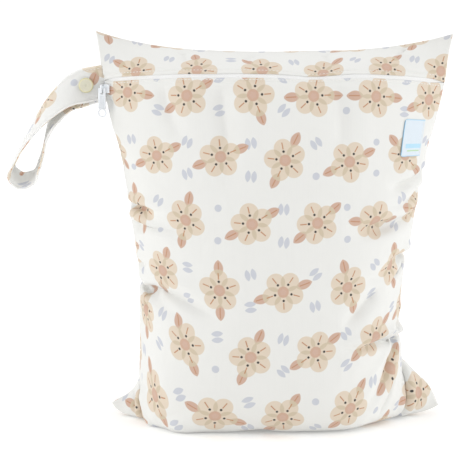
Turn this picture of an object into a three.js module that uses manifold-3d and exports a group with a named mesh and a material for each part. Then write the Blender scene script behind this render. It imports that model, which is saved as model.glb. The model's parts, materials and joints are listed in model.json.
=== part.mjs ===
// A stuffed cloth wet bag standing upright, with a lapped zip, a wrist strap with a snap, and a side label.
// Millimetres, +Z up, +X to the right across the front, +Y from the front to the back.
// The origin lies on the floor, on the underside of the front panel, below the middle of the bag.

import * as THREE from 'three';
import { mergeVertices } from 'three/addons/utils/BufferGeometryUtils.js';
import Module from 'manifold-3d';

// The cut cloth, laid flat
const flatWidth = 300;
const flatHeight = 400;
const wall = 1.4;
const seamGap = 0.3;
const seamCrowd = 0.6;
const foldHold = 8;
const flankSag = 1.5;

// The bag as it stands, stuffed
const standHeight = 324;
const frontDepth = 67;
const backDepth = 74;

// Zip, measured down the cloth from the top seam
const zipDrop = 46;
const tapeShow = 3.5;
const tapeWidth = 18;
const tapeThickness = 0.9;
const tapeGap = 0.9;
const tapeMargin = 8;
const coilWidth = 4;
const coilThickness = 1.5;
const coilMargin = 14;

// Slider, its crown and the pull that hangs in it
const sliderInset = 2.5;
const sliderDrop = 7;
const sliderLength = 8;
const sliderHeight = 7;
const sliderPlate = 1.5;
const sliderLift = 2.2;
const sliderTurn = 22;
const crownShift = 1.8;
const crownWidth = 1.6;
const crownMetal = 0.9;
const crownLeg = 3.1;
const crownRoot = 0.4;
const pullWidth = 6.4;
const pullLength = 24;
const pullThickness = 1.4;
const pullCrossbar = 1.3;
const pullChamfer = 0.8;
const pullEyeSpare = 0.15;
const pullSlack = 0.25;
const pullRing = 7.6;
const pullRingWire = 1.1;

// Wrist strap, a folded loop of cloth
const strapWidth = 28;
const strapThickness = 2;
const strapReach = 75;
const strapDrop = 81;
const strapRootDrop = 49;
const strapRootSpan = 0.02;
const strapHang = 0.92;
const strapRise = 0.35;

// Snap that closes the strap
const snapDiameter = 12;
const snapCapHeight = 1.7;
const snapOffset = 14;
const socketDiameter = 8;
const socketHeight = 1.8;
const snapGap = 0.6;

// Label folded out of the right side seam
const labelWidth = 24;
const labelHeight = 32;
const labelThickness = 0.9;
const labelDrop = 81;
const labelMargin = 17;

// Sections of the stuffed bag, from the bottom seam up to the top seam.
// at: height on the cloth, as a share of flatHeight.
// left, right: side seams, as shares of half of flatWidth. leftZ, rightZ: their shares of standHeight.
// seamY: side seam towards the back, as a share of frontDepth.
// frontY, backY: middle of each face, as shares of frontDepth and backDepth. frontZ, backZ: of standHeight.
// leftRound, rightRound: 2 is a round flank, more is boxier. edge: 0.5 meets the seam square, 1 at a slant.
const sections = [
  { at: 0.000, left: 0.905, right: 0.925, leftZ: 0.034, rightZ: 0.028, seamY: 0.10,
    frontY: 0.10, frontZ: 0.000, backY: 0.091, backZ: 0.000, leftRound: 14.0, rightRound: 6.0, edge: 0.60 },
  { at: 0.050, left: 0.800, right: 0.862, leftZ: 0.062, rightZ: 0.082, seamY: 0.10,
    frontY: -0.19, frontZ: 0.000, backY: 0.36, backZ: 0.000, leftRound: 14.0, rightRound: 5.0, edge: 0.58 },
  { at: 0.100, left: 0.745, right: 0.765, leftZ: 0.105, rightZ: 0.126, seamY: 0.09,
    frontY: -0.49, frontZ: 0.000, backY: 0.63, backZ: 0.000, leftRound: 13.0, rightRound: 4.6, edge: 0.56 },
  { at: 0.145, left: 0.745, right: 0.715, leftZ: 0.145, rightZ: 0.153, seamY: 0.09,
    frontY: -0.74, frontZ: 0.011, backY: 0.86, backZ: 0.012, leftRound: 10.0, rightRound: 4.0, edge: 0.54 },
  { at: 0.190, left: 0.737, right: 0.702, leftZ: 0.188, rightZ: 0.194, seamY: 0.08,
    frontY: -0.90, frontZ: 0.051, backY: 0.96, backZ: 0.056, leftRound: 6.0, rightRound: 3.4, edge: 0.53 },
  { at: 0.250, left: 0.740, right: 0.690, leftZ: 0.247, rightZ: 0.247, seamY: 0.08,
    frontY: -0.98, frontZ: 0.123, backY: 1.00, backZ: 0.130, leftRound: 3.5, rightRound: 2.8, edge: 0.52 },
  { at: 0.400, left: 0.745, right: 0.712, leftZ: 0.392, rightZ: 0.385, seamY: 0.07,
    frontY: -1.00, frontZ: 0.309, backY: 0.99, backZ: 0.315, leftRound: 2.4, rightRound: 2.4, edge: 0.52 },
  { at: 0.550, left: 0.786, right: 0.766, leftZ: 0.537, rightZ: 0.531, seamY: 0.06,
    frontY: -0.97, frontZ: 0.494, backY: 0.96, backZ: 0.500, leftRound: 2.3, rightRound: 2.3, edge: 0.55 },
  { at: 0.700, left: 0.837, right: 0.820, leftZ: 0.685, rightZ: 0.679, seamY: 0.04,
    frontY: -0.88, frontZ: 0.678, backY: 0.85, backZ: 0.682, leftRound: 2.2, rightRound: 2.2, edge: 0.66 },
  { at: 0.800, left: 0.893, right: 0.873, leftZ: 0.784, rightZ: 0.775, seamY: 0.03,
    frontY: -0.776, frontZ: 0.799, backY: 0.70, backZ: 0.801, leftRound: 2.1, rightRound: 2.1, edge: 0.80 },
  { at: 0.885, left: 0.933, right: 0.920, leftZ: 0.877, rightZ: 0.873, seamY: 0.02,
    frontY: -0.64, frontZ: 0.901, backY: 0.47, backZ: 0.892, leftRound: 2.0, rightRound: 2.0, edge: 0.95 },
  { at: 0.930, left: 0.945, right: 0.934, leftZ: 0.929, rightZ: 0.926, seamY: 0.01,
    frontY: -0.40, frontZ: 0.929, backY: 0.29, backZ: 0.923, leftRound: 1.8, rightRound: 1.8, edge: 1.00 },
  { at: 1.000, left: 0.966, right: 0.960, leftZ: 0.997, rightZ: 0.990, seamY: 0.00,
    frontY: 0.00, frontZ: 0.944, backY: 0.00, backZ: 0.944, leftRound: 2.0, rightRound: 2.0, edge: 1.00 },
];

// Folds and dents of the cloth. face: -1 front, 1 back. across: middle, as a share of half of flatWidth.
// at: share of flatHeight. long, wide: half sizes, as shares of flatWidth. slant: degrees, 0 runs across.
// depth: share of frontDepth, where less than 0 stands out.
const folds = [
  { face: -1, across: -0.84, at: 0.577, long: 0.085, wide: 0.018, slant: -4, depth: 0.060 },
  { face: -1, across: -0.80, at: 0.548, long: 0.090, wide: 0.020, slant: -6, depth: -0.030 },
  { face: -1, across: -0.90, at: 0.430, long: 0.050, wide: 0.014, slant: 8, depth: 0.045 },
  { face: -1, across: -0.95, at: 0.375, long: 0.055, wide: 0.013, slant: -14, depth: 0.110 },
  { face: -1, across: 0.80, at: 0.640, long: 0.070, wide: 0.022, slant: -16, depth: 0.055 },
  { face: -1, across: 0.58, at: 0.562, long: 0.075, wide: 0.018, slant: 2, depth: 0.035 },
  { face: -1, across: 0.93, at: 0.455, long: 0.060, wide: 0.014, slant: 20, depth: 0.110 },
  { face: -1, across: 0.76, at: 0.215, long: 0.110, wide: 0.016, slant: 16, depth: 0.090 },
  { face: -1, across: 0.72, at: 0.252, long: 0.100, wide: 0.020, slant: 14, depth: -0.040 },
  { face: -1, across: 0.86, at: 0.110, long: 0.070, wide: 0.016, slant: 38, depth: 0.070 },
  { face: -1, across: -0.90, at: 0.100, long: 0.050, wide: 0.014, slant: -40, depth: 0.060 },
  { face: -1, across: 0.20, at: 0.885, long: 0.075, wide: 0.080, slant: 0, depth: 0.080 },
  { face: 1, across: -0.84, at: 0.600, long: 0.090, wide: 0.018, slant: -6, depth: 0.060 },
  { face: 1, across: -0.92, at: 0.385, long: 0.060, wide: 0.014, slant: 10, depth: 0.090 },
  { face: 1, across: 0.82, at: 0.520, long: 0.080, wide: 0.018, slant: 10, depth: 0.060 },
  { face: 1, across: 0.80, at: 0.250, long: 0.100, wide: 0.016, slant: 14, depth: 0.080 },
];

// Places where a fold draws the side seam in. side: -1 left, 1 right. wide: share of flatHeight.
// pull: share of flatWidth.
const tucks = [
  { side: -1, at: 0.577, wide: 0.016, pull: 0.006 },
  { side: -1, at: 0.375, wide: 0.016, pull: 0.014 },
  { side: 1, at: 0.455, wide: 0.016, pull: 0.014 },
  { side: 1, at: 0.235, wide: 0.018, pull: 0.008 },
];

// Middle line of the strap, from its front root round the loop to its back root.
// out: share of strapReach away from the seam. down: share of strapDrop below the root.
// turn: 0 where the cloth faces the front, 1 where its width runs front to back.
// layer: -1 in front of the other layer, 1 behind it, 0 where they are apart.
// lean: how far the width slopes sideways from front to back.
const strapStations = [
  { out: 0.000, down: 0.000, turn: 0.00, layer: -0.55, lean: 0.00 },
  { out: 0.180, down: 0.030, turn: 0.06, layer: -1.00, lean: 0.00 },
  { out: 0.340, down: 0.085, turn: 0.50, layer: -0.95, lean: 0.05 },
  { out: 0.480, down: 0.180, turn: 0.66, layer: -0.60, lean: 0.10 },
  { out: 0.630, down: 0.320, turn: 0.80, layer: -0.30, lean: 0.10 },
  { out: 0.780, down: 0.500, turn: 0.94, layer: 0.00, lean: 0.12 },
  { out: 0.920, down: 0.710, turn: 1.00, layer: 0.00, lean: 0.12 },
  { out: 1.000, down: 0.900, turn: 1.00, layer: 0.00, lean: 0.08 },
  { out: 0.910, down: 1.000, turn: 1.00, layer: 0.00, lean: 0.05 },
  { out: 0.770, down: 0.960, turn: 1.00, layer: 0.00, lean: 0.00 },
  { out: 0.700, down: 0.830, turn: 1.00, layer: 0.00, lean: 0.00 },
  { out: 0.655, down: 0.700, turn: 1.00, layer: 0.00, lean: 0.00 },
  { out: 0.620, down: 0.560, turn: 1.00, layer: 0.10, lean: 0.00 },
  { out: 0.570, down: 0.440, turn: 0.95, layer: 0.40, lean: 0.00 },
  { out: 0.500, down: 0.330, turn: 0.86, layer: 0.80, lean: 0.00 },
  { out: 0.365, down: 0.160, turn: 0.50, layer: 1.20, lean: 0.00 },
  { out: 0.180, down: 0.065, turn: 0.05, layer: 1.00, lean: 0.00 },
  { out: 0.000, down: 0.030, turn: 0.00, layer: 0.55, lean: 0.00 },
];

const radians = THREE.MathUtils.degToRad;
const halfWidth = flatWidth / 2;
const wasm = await Module();
wasm.setup();

// A smooth line through a table's column
function column(rows, key, at) {
  let i = 0;
  while (i < rows.length - 2 && rows[i + 1].at < at) i += 1;
  const slope = (k) => {
    const low = rows[Math.max(k - 1, 0)];
    const high = rows[Math.min(k + 1, rows.length - 1)];
    return (high[key] - low[key]) / (high.at - low.at);
  };
  const a = rows[i];
  const b = rows[i + 1];
  const span = b.at - a.at;
  const t = THREE.MathUtils.clamp((at - a.at) / span, 0, 1);
  const bend = t * t * (3 - 2 * t);
  return a[key] + (b[key] - a[key]) * bend
    + slope(i) * span * t * (1 - t) ** 2 - slope(i + 1) * span * t * t * (1 - t);
}

// The side seam: side is -1 on the left and 1 on the right
function seamPoint(side, at) {
  const pick = (key) => column(sections, key, at);
  const x = side < 0 ? -pick('left') : pick('right');
  const z = side < 0 ? pick('leftZ') : pick('rightZ');
  let tuck = 0;
  for (const t of tucks) {
    if (t.side === side) tuck += t.pull * Math.exp(-(((at - t.at) / t.wide) ** 2));
  }
  return new THREE.Vector3(
    x * halfWidth - side * tuck * flatWidth,
    pick('seamY') * frontDepth,
    Math.max(z, 0) * standHeight,
  );
}

// One row of cloth from the left seam to the right one, as points an even way apart
const rowSamples = 40;
const rowCache = new Map();
function row(face, at) {
  const key = `${face} ${at.toFixed(5)}`;
  if (rowCache.has(key)) return rowCache.get(key);
  const pick = (name) => column(sections, name, at);
  const middleY = face < 0 ? pick('frontY') * frontDepth : pick('backY') * backDepth;
  const middleZ = Math.max(face < 0 ? pick('frontZ') : pick('backZ'), 0) * standHeight;
  const halves = [-1, 1].map((side) => {
    const seam = seamPoint(side, at);
    const round = side < 0 ? pick('leftRound') : pick('rightRound');
    const points = [];
    for (let i = 0; i <= rowSamples; i += 1) {
      const out = 1 - (1 - i / rowSamples) ** 2;
      const belly = (1 - out ** round) ** pick('edge');
      points.push(new THREE.Vector3(
        seam.x * out,
        seam.y + (middleY - seam.y) * belly,
        middleZ + (seam.z - middleZ) * out ** (round * flankSag),
      ));
    }
    const lengths = [0];
    for (let i = 1; i < points.length; i += 1) {
      lengths.push(lengths[i - 1] + points[i].distanceTo(points[i - 1]));
    }
    return { points, lengths };
  });
  rowCache.set(key, halves);
  return halves;
}

// A point of the plain stuffed shape: across runs from -1 at the left seam to 1 at the right one
function plainPoint(face, across, at) {
  const half = row(face, at)[across < 0 ? 0 : 1];
  const want = Math.min(Math.abs(across), 1) * half.lengths[rowSamples];
  let i = 0;
  while (i < rowSamples - 1 && half.lengths[i + 1] < want) i += 1;
  const t = (want - half.lengths[i]) / (half.lengths[i + 1] - half.lengths[i]);
  return half.points[i].clone().lerp(half.points[i + 1], t);
}

function normalOf(point, face, across, at) {
  const step = 0.004;
  const right = point(face, Math.min(across + step, 1), at);
  const left = point(face, Math.max(across - step, -1), at);
  const above = point(face, across, Math.min(at + step, 1));
  const below = point(face, across, Math.max(at - step, 0));
  return right.sub(left).cross(above.sub(below)).normalize().multiplyScalar(-face);
}

// The same point with the folds pressed in, which fade out towards the side seams
function clothPoint(face, across, at) {
  const point = plainPoint(face, across, at);
  const hold = 1 - Math.abs(across) ** foldHold;
  let depth = 0;
  for (const fold of folds) {
    if (fold.face !== face) continue;
    const x = (across - fold.across) * 0.5;
    const y = (at - fold.at) * (flatHeight / flatWidth);
    const c = Math.cos(radians(fold.slant));
    const s = Math.sin(radians(fold.slant));
    const along = (x * c + y * s) / fold.long;
    const over = (y * c - x * s) / fold.wide;
    depth += fold.depth * (1 - 0.5 * over * over) * Math.exp(-along * along - 0.5 * over * over);
  }
  if (Math.abs(depth) > 0.001) {
    const normal = normalOf(plainPoint, face, across, at);
    point.addScaledVector(normal, -depth * hold * frontDepth);
  }
  return point;
}

// Outside and inside of a cloth wall that ends face to face with the other panel at the seam
function clothWall(face, across, at) {
  const base = clothPoint(face, across, at);
  const normal = normalOf(clothPoint, face, across, at);
  const outward = Math.max(normal.y * face, 0);
  const outside = base.clone();
  outside.y += face * (seamGap / 2 + wall * outward);
  outside.z = Math.max(outside.z, 0);
  const inside = outside.clone().addScaledVector(normal, -wall);
  return { outside, inside, normal };
}

// A closed body from two grids of points, rows by columns
function closedSheet(outside, inside) {
  const rows = outside.length;
  const columns = outside[0].length;
  const last = columns - 1;
  const positions = [...outside.flat(), ...inside.flat()].flatMap((p) => [p.x, p.y, p.z]);
  const faces = [];
  const outer = (r, c) => r * columns + c;
  const inner = (r, c) => rows * columns + r * columns + c;
  const quad = (a, b, c, d) => faces.push(a, b, c, a, c, d);
  for (let r = 0; r < rows - 1; r += 1) {
    for (let c = 0; c < last; c += 1) {
      quad(outer(r, c), outer(r, c + 1), outer(r + 1, c + 1), outer(r + 1, c));
      quad(inner(r, c), inner(r + 1, c), inner(r + 1, c + 1), inner(r, c + 1));
    }
    quad(outer(r, 0), outer(r + 1, 0), inner(r + 1, 0), inner(r, 0));
    quad(outer(r, last), inner(r, last), inner(r + 1, last), outer(r + 1, last));
  }
  for (let c = 0; c < last; c += 1) {
    quad(outer(0, c), inner(0, c), inner(0, c + 1), outer(0, c + 1));
    quad(outer(rows - 1, c), outer(rows - 1, c + 1), inner(rows - 1, c + 1), inner(rows - 1, c));
  }
  return facingOut(positions, faces);
}

function facingOut(positions, faces) {
  const corner = (i) => new THREE.Vector3().fromArray(positions, faces[i] * 3);
  let volume = 0;
  for (let i = 0; i < faces.length; i += 3) {
    volume += corner(i).dot(corner(i + 1).cross(corner(i + 2)));
  }
  const ordered = volume > 0 ? faces : faces.slice().reverse();
  const geometry = new THREE.BufferGeometry();
  geometry.setAttribute('position', new THREE.Float32BufferAttribute(positions, 3));
  geometry.setIndex(ordered);
  geometry.computeVertexNormals();
  return geometry;
}

function spread(from, to, steps) {
  return Array.from({ length: steps + 1 }, (_, i) => from + ((to - from) * i) / steps);
}

// Columns across the cloth, which stand closer together towards the side seams
function across(steps, end = 1) {
  return spread(-1, 1, steps).map((t) => (
    end * (Math.sin((t * Math.PI) / 2) * seamCrowd + t * (1 - seamCrowd))));
}

function panel(face, from, to, rows, columns) {
  const grid = rows.map((at) => columns.map((u) => clothWall(face, u, from + (to - from) * at)));
  return closedSheet(grid.map((r) => r.map((p) => p.outside)), grid.map((r) => r.map((p) => p.inside)));
}

// A layer that lies under the front cloth, from depth to depth plus thickness below its outside
function under(from, to, steps, columns, depth, thickness) {
  const grid = spread(from, to, steps).map((at) => columns.map((u) => clothWall(-1, u, at)));
  const layer = (d) => grid.map((r) => r.map((p) => p.outside.clone().addScaledVector(p.normal, -d)));
  return closedSheet(layer(depth), layer(depth + thickness));
}

const lipAt = 1 - zipDrop / flatHeight;
const panelTop = 1 - (zipDrop + tapeShow) / flatHeight;
const zipMiddle = (lipAt + panelTop) / 2;

function frontPanel() {
  return panel(-1, 0, panelTop, spread(0, 1, 30), across(32));
}

function topStrip() {
  return panel(-1, lipAt, 1, spread(0, 1, 7), across(32));
}

function backPanel() {
  return panel(1, 0, 1, spread(0, 1, 30), across(28));
}

function zipTape() {
  const half = tapeWidth / 2 / flatHeight;
  const end = 1 - tapeMargin / halfWidth;
  return under(zipMiddle - half, zipMiddle + half, 4, across(32, end), wall + tapeGap, tapeThickness);
}

function zipCoil() {
  const half = coilWidth / 2 / flatHeight;
  const end = 1 - coilMargin / halfWidth;
  const depth = wall + tapeGap + tapeThickness + seamGap * 2;
  return under(zipMiddle - half, zipMiddle + half, 1, across(32, end), depth, coilThickness);
}

// Solids for joins and cuts
function toSolid(geometry) {
  const bare = geometry.clone();
  bare.deleteAttribute('normal');
  bare.deleteAttribute('uv');
  const merged = mergeVertices(bare, 1e-4);
  return new wasm.Manifold(new wasm.Mesh({
    numProp: 3,
    vertProperties: new Float32Array(merged.attributes.position.array),
    triVerts: new Uint32Array(merged.index.array),
  }));
}

function fromSolid(solid) {
  const mesh = solid.getMesh();
  return facingOut(Array.from(mesh.vertProperties), Array.from(mesh.triVerts));
}

// The slider's own frame: x along the zip, y into the bag from the plate's outer face, z up
const crownInside = Math.hypot(pullThickness, pullCrossbar) + pullSlack * 2;
const crownReach = crownInside + crownMetal;
const crownHalf = crownLeg + crownMetal / 2;
const hingeOut = crownInside / 2;

function zipSlider() {
  const plate = new THREE.BoxGeometry(sliderLength, sliderPlate, sliderHeight);
  plate.translate(0, sliderPlate / 2, 0);
  const outline = new THREE.Shape();
  outline.moveTo(crownRoot, -crownHalf);
  outline.lineTo(-crownReach + crownMetal, -crownHalf);
  outline.lineTo(-crownReach, -crownHalf + crownMetal);
  outline.lineTo(-crownReach, crownHalf - crownMetal);
  outline.lineTo(-crownReach + crownMetal, crownHalf);
  outline.lineTo(crownRoot, crownHalf);
  outline.lineTo(crownRoot, crownHalf - crownMetal);
  outline.lineTo(-crownInside, crownHalf - crownMetal);
  outline.lineTo(-crownInside, -crownHalf + crownMetal);
  outline.lineTo(crownRoot, -crownHalf + crownMetal);
  const crown = new THREE.ExtrudeGeometry(outline, { depth: crownWidth, bevelEnabled: false });
  crown.translate(0, 0, -crownWidth / 2 - crownShift);
  // The outline's x is the frame's y and its y is the frame's z
  crown.applyMatrix4(new THREE.Matrix4().makeBasis(
    new THREE.Vector3(0, 1, 0),
    new THREE.Vector3(0, 0, 1),
    new THREE.Vector3(1, 0, 0),
  ));
  return fromSolid(toSolid(plate).add(toSolid(crown)));
}

// The pull hangs from its crossbar, which turns at the origin of its own frame
function zipPull() {
  const eyeEnd = Math.hypot(crownReach - hingeOut, crownHalf) + pullSlack;
  const half = pullWidth / 2;
  const top = pullCrossbar / 2;
  const ringMiddle = -(pullLength - top - pullRing / 2);
  const outline = new THREE.Shape();
  const neck = Math.asin(Math.min(half / (pullRing / 2), 0.9));
  outline.moveTo(-half + pullChamfer, top);
  outline.lineTo(-half, top - pullChamfer);
  outline.lineTo(-half, ringMiddle + (pullRing / 2) * Math.cos(neck));
  outline.absarc(0, ringMiddle, pullRing / 2, Math.PI / 2 + neck, Math.PI / 2 - neck + Math.PI * 2, false);
  outline.lineTo(half, top - pullChamfer);
  outline.lineTo(half - pullChamfer, top);
  const eye = new THREE.Path();
  const eyeHalf = crownWidth / 2 + pullSlack + pullEyeSpare;
  eye.moveTo(-eyeHalf, -pullCrossbar / 2);
  eye.lineTo(eyeHalf, -pullCrossbar / 2);
  eye.lineTo(eyeHalf, -eyeEnd);
  eye.lineTo(-eyeHalf, -eyeEnd);
  const hole = new THREE.Path();
  hole.absarc(0, ringMiddle, pullRing / 2 - pullRingWire, 0, Math.PI * 2, true);
  outline.holes.push(eye, hole);
  const bar = new THREE.ExtrudeGeometry(outline, {
    depth: pullThickness, bevelEnabled: false, curveSegments: 12,
  });
  bar.translate(0, 0, -pullThickness / 2);
  bar.rotateX(Math.PI / 2);
  return fromSolid(toSolid(bar));
}

// Strap: stations become centre points and width directions that hang from the left side seam
const strapAt = 1 - strapRootDrop / flatHeight;

function strapFrames(steps) {
  const root = seamPoint(-1, strapAt);
  const upper = seamPoint(-1, strapAt + strapRootSpan);
  const lower = seamPoint(-1, strapAt - strapRootSpan);
  const seamLine = upper.sub(lower).normalize();
  const pitch = (strapThickness + socketHeight) / 2 + snapGap;
  const points = strapStations.map((s) => new THREE.Vector3(
    root.x - seamGap * 2 - s.out * strapReach,
    root.y + s.layer * pitch,
    root.z - s.down * strapDrop,
  ));
  const line = new THREE.CatmullRomCurve3(points, false, 'centripetal');
  return spread(0, 1, steps).map((t) => {
    const place = t * (strapStations.length - 1);
    const i = Math.min(Math.floor(place), strapStations.length - 2);
    const from = strapStations[i];
    const to = strapStations[i + 1];
    const between = (key) => THREE.MathUtils.lerp(from[key], to[key], place - i);
    const hang = new THREE.Vector3(between('lean'), strapHang, strapRise).normalize();
    const along = line.getTangent(t);
    const angle = between('turn') * Math.PI / 2;
    const width = seamLine.clone()
      .multiplyScalar(Math.cos(angle))
      .addScaledVector(hang, Math.sin(angle));
    width.addScaledVector(along, -width.dot(along)).normalize();
    const outward = width.clone().cross(along).normalize();
    return { centre: line.getPoint(t), width, outward };
  });
}

function wristStrap() {
  const frames = strapFrames(60);
  const corner = (f, w, n) => f.centre.clone()
    .addScaledVector(f.width, w * strapWidth / 2)
    .addScaledVector(f.outward, n * strapThickness / 2);
  const outside = frames.map((f) => [-1, 0, 1].map((w) => corner(f, w, 1)));
  const inside = frames.map((f) => [-1, 0, 1].map((w) => corner(f, w, -1)));
  return closedSheet(outside, inside);
}

// A snap part. out: share of the radius. up: share of the height, and drop: how much a dome lowers it.
const snapProfile = [
  { out: 0.00, up: 0.0, drop: 0.00 },
  { out: 0.94, up: 0.0, drop: 0.00 },
  { out: 1.00, up: 0.3, drop: 0.00 },
  { out: 0.93, up: 1.0, drop: 0.60 },
  { out: 0.60, up: 1.0, drop: 0.15 },
  { out: 0.00, up: 1.0, drop: 0.00 },
];

function disc(diameter, height, dome) {
  const profile = snapProfile.map((p) => (
    new THREE.Vector2(p.out * diameter / 2, height * (p.up - dome * p.drop))));
  return fromSolid(toSolid(new THREE.LatheGeometry(profile, 20)));
}

function labelPatch() {
  const top = 1 - labelDrop / flatHeight;
  const edge = 1 - labelMargin / halfWidth;
  const inner = edge - labelWidth / halfWidth;
  const grid = spread(top - labelHeight / flatHeight, top, 6).map(
    (at) => spread(inner, edge, 6).map((u) => clothWall(-1, u, at)),
  );
  const layer = (d) => grid.map((r) => r.map((p) => p.outside.clone().addScaledVector(p.normal, d)));
  return closedSheet(layer(seamGap + labelThickness), layer(seamGap));
}

// Materials
const cloth = { color: 0xf1efec, roughness: 0.85, metalness: 0 };
const tapeCloth = { color: 0xf6f6f4, roughness: 0.9, metalness: 0 };
const whitePlastic = { color: 0xf0f4f8, roughness: 0.35, metalness: 0 };
const creamPlastic = { color: 0xd9d5b8, roughness: 0.4, metalness: 0 };
const labelCloth = { color: 0xcfe3ec, roughness: 0.8, metalness: 0 };

function piece(name, geometry, finish) {
  const mesh = new THREE.Mesh(geometry, new THREE.MeshStandardMaterial(finish));
  mesh.name = name;
  return mesh;
}

const bag = new THREE.Group();
bag.add(piece('front_panel', frontPanel(), cloth));
bag.add(piece('top_strip', topStrip(), cloth));
bag.add(piece('back_panel', backPanel(), cloth));
bag.add(piece('zip_tape', zipTape(), tapeCloth));
bag.add(piece('zip_coil', zipCoil(), whitePlastic));
bag.add(piece('wrist_strap', wristStrap(), cloth));
bag.add(piece('side_label', labelPatch(), labelCloth));

// The slider stands at the left end of the zip, its plate just clear of the cloth
const sliderAt = zipMiddle - sliderDrop / flatHeight;
const sliderSpot = clothWall(-1, -1 + sliderInset / halfWidth, sliderAt);
const slider = new THREE.Group();
slider.rotation.z = radians(-sliderTurn);
const sliderOut = new THREE.Vector3(0, -1, 0).applyEuler(slider.rotation);
slider.position.copy(sliderSpot.outside).addScaledVector(sliderOut, sliderLift + sliderPlate);
slider.add(piece('zip_slider', zipSlider(), whitePlastic));
const pull = piece('zip_pull', zipPull(), whitePlastic);
pull.position.set(-crownShift, -hingeOut, 0);
slider.add(pull);
bag.add(slider);

// The snap: a cap on the outer face of each strap layer, and the socket between the two
const snapX = seamPoint(-1, strapAt).x - snapOffset;
const frames = strapFrames(240);
const nearSnap = (list) => list.reduce((a, b) => (
  Math.abs(a.centre.x - snapX) < Math.abs(b.centre.x - snapX) ? a : b));
const frontLayer = nearSnap(frames.slice(0, 80));
const backLayer = nearSnap(frames.slice(160));
const upY = new THREE.Vector3(0, 1, 0);

function snapPart(name, shape, from, out) {
  const mesh = piece(name, shape, creamPlastic);
  mesh.quaternion.setFromUnitVectors(upY, out);
  mesh.position.copy(from);
  bag.add(mesh);
}

for (const [name, layer] of [['snap_cap', frontLayer], ['snap_back_cap', backLayer]]) {
  const seat = layer.centre.clone().addScaledVector(layer.outward, strapThickness / 2 + snapGap);
  snapPart(name, disc(snapDiameter, snapCapHeight, 1), seat, layer.outward);
}
const between = frontLayer.centre.clone().add(backLayer.centre).multiplyScalar(0.5);
const through = new THREE.Vector3(0, -1, 0);
const socketSeat = between.addScaledVector(through, -socketHeight / 2);
snapPart('snap_socket', disc(socketDiameter, socketHeight, 0.2), socketSeat, through);

export default bag;
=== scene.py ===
import json
import math
import bmesh
import bpy
import numpy as np
from mathutils import Matrix, Vector
from mathutils.kdtree import KDTree


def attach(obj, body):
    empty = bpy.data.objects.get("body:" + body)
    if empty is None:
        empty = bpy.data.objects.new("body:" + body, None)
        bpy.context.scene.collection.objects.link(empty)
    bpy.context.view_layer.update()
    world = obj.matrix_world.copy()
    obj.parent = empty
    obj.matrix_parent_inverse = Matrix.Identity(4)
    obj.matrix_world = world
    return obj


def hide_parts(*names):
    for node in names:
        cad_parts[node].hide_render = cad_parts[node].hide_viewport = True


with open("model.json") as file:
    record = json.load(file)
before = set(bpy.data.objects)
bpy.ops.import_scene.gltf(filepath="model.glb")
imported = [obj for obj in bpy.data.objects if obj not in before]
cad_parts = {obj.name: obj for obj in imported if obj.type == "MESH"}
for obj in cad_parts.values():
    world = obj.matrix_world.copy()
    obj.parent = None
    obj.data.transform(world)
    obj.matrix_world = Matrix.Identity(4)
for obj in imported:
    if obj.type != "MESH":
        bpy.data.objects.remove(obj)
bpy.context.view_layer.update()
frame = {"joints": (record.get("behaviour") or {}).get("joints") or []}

mm = 0.001
flatUnit = 400                              # mm of flat cloth for one unit of the UV maps

studio = {
    'aim': (-0.0365, 0.0, 0.1595), 'distance': 1.55, 'lens': 147.2, 'farClip': 200,
    'elevation': 10,                        # degrees above the floor
    'skyLow': 0.36, 'skyRise': 0.82,        # the tent is brighter overhead
    'panelAt': (20.0, -4.0, 6.0), 'panelSize': 12, 'panelPower': 1450,
    'floorSize': 90, 'floorColour': 'FBFBFA', 'floorRough': 0.9, 'floorGlow': 0.13,
    'floorSink': 0.2,                       # mm
}


def makeStudio():
    scene = bpy.context.scene
    scene.view_settings.view_transform = 'Standard'
    scene.view_settings.look = 'None'
    tilt = math.radians(studio['elevation'])
    aim = Vector(studio['aim'])
    camera = bpy.data.objects.new('photoCamera', bpy.data.cameras.new('photoCamera'))
    camera.data.lens = studio['lens']
    camera.data.clip_end = studio['farClip']
    camera.location = aim + Vector((0, -math.cos(tilt), math.sin(tilt))) * studio['distance']
    camera.rotation_euler = (math.radians(90) - tilt, 0, 0)
    scene.collection.objects.link(camera)
    scene.camera = camera

    world = bpy.data.worlds.new('softTent')
    world.use_nodes = True
    tent = world.node_tree
    way = tent.nodes.new('ShaderNodeTexCoord')
    parts = tent.nodes.new('ShaderNodeSeparateXYZ')
    rise = tent.nodes.new('ShaderNodeMath')
    rise.operation = 'MULTIPLY_ADD'
    rise.inputs[1].default_value = studio['skyRise']
    rise.inputs[2].default_value = studio['skyLow']
    tent.links.new(way.outputs['Generated'], parts.inputs[0])
    tent.links.new(parts.outputs['Z'], rise.inputs[0])
    tent.nodes['Background'].inputs['Color'].default_value = (1, 1, 1, 1)
    tent.links.new(rise.outputs[0], tent.nodes['Background'].inputs['Strength'])
    scene.world = world

    out, front, up = studio['panelAt']
    for name, side in (('leftPanel', -1), ('rightPanel', 1)):
        lamp = bpy.data.objects.new(name, bpy.data.lights.new(name, 'AREA'))
        lamp.data.size = studio['panelSize']
        lamp.data.energy = studio['panelPower']
        lamp.location = (side * out, front, up)
        lamp.rotation_euler = (aim - lamp.location).to_track_quat('-Z', 'Y').to_euler()
        scene.collection.objects.link(lamp)


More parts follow.
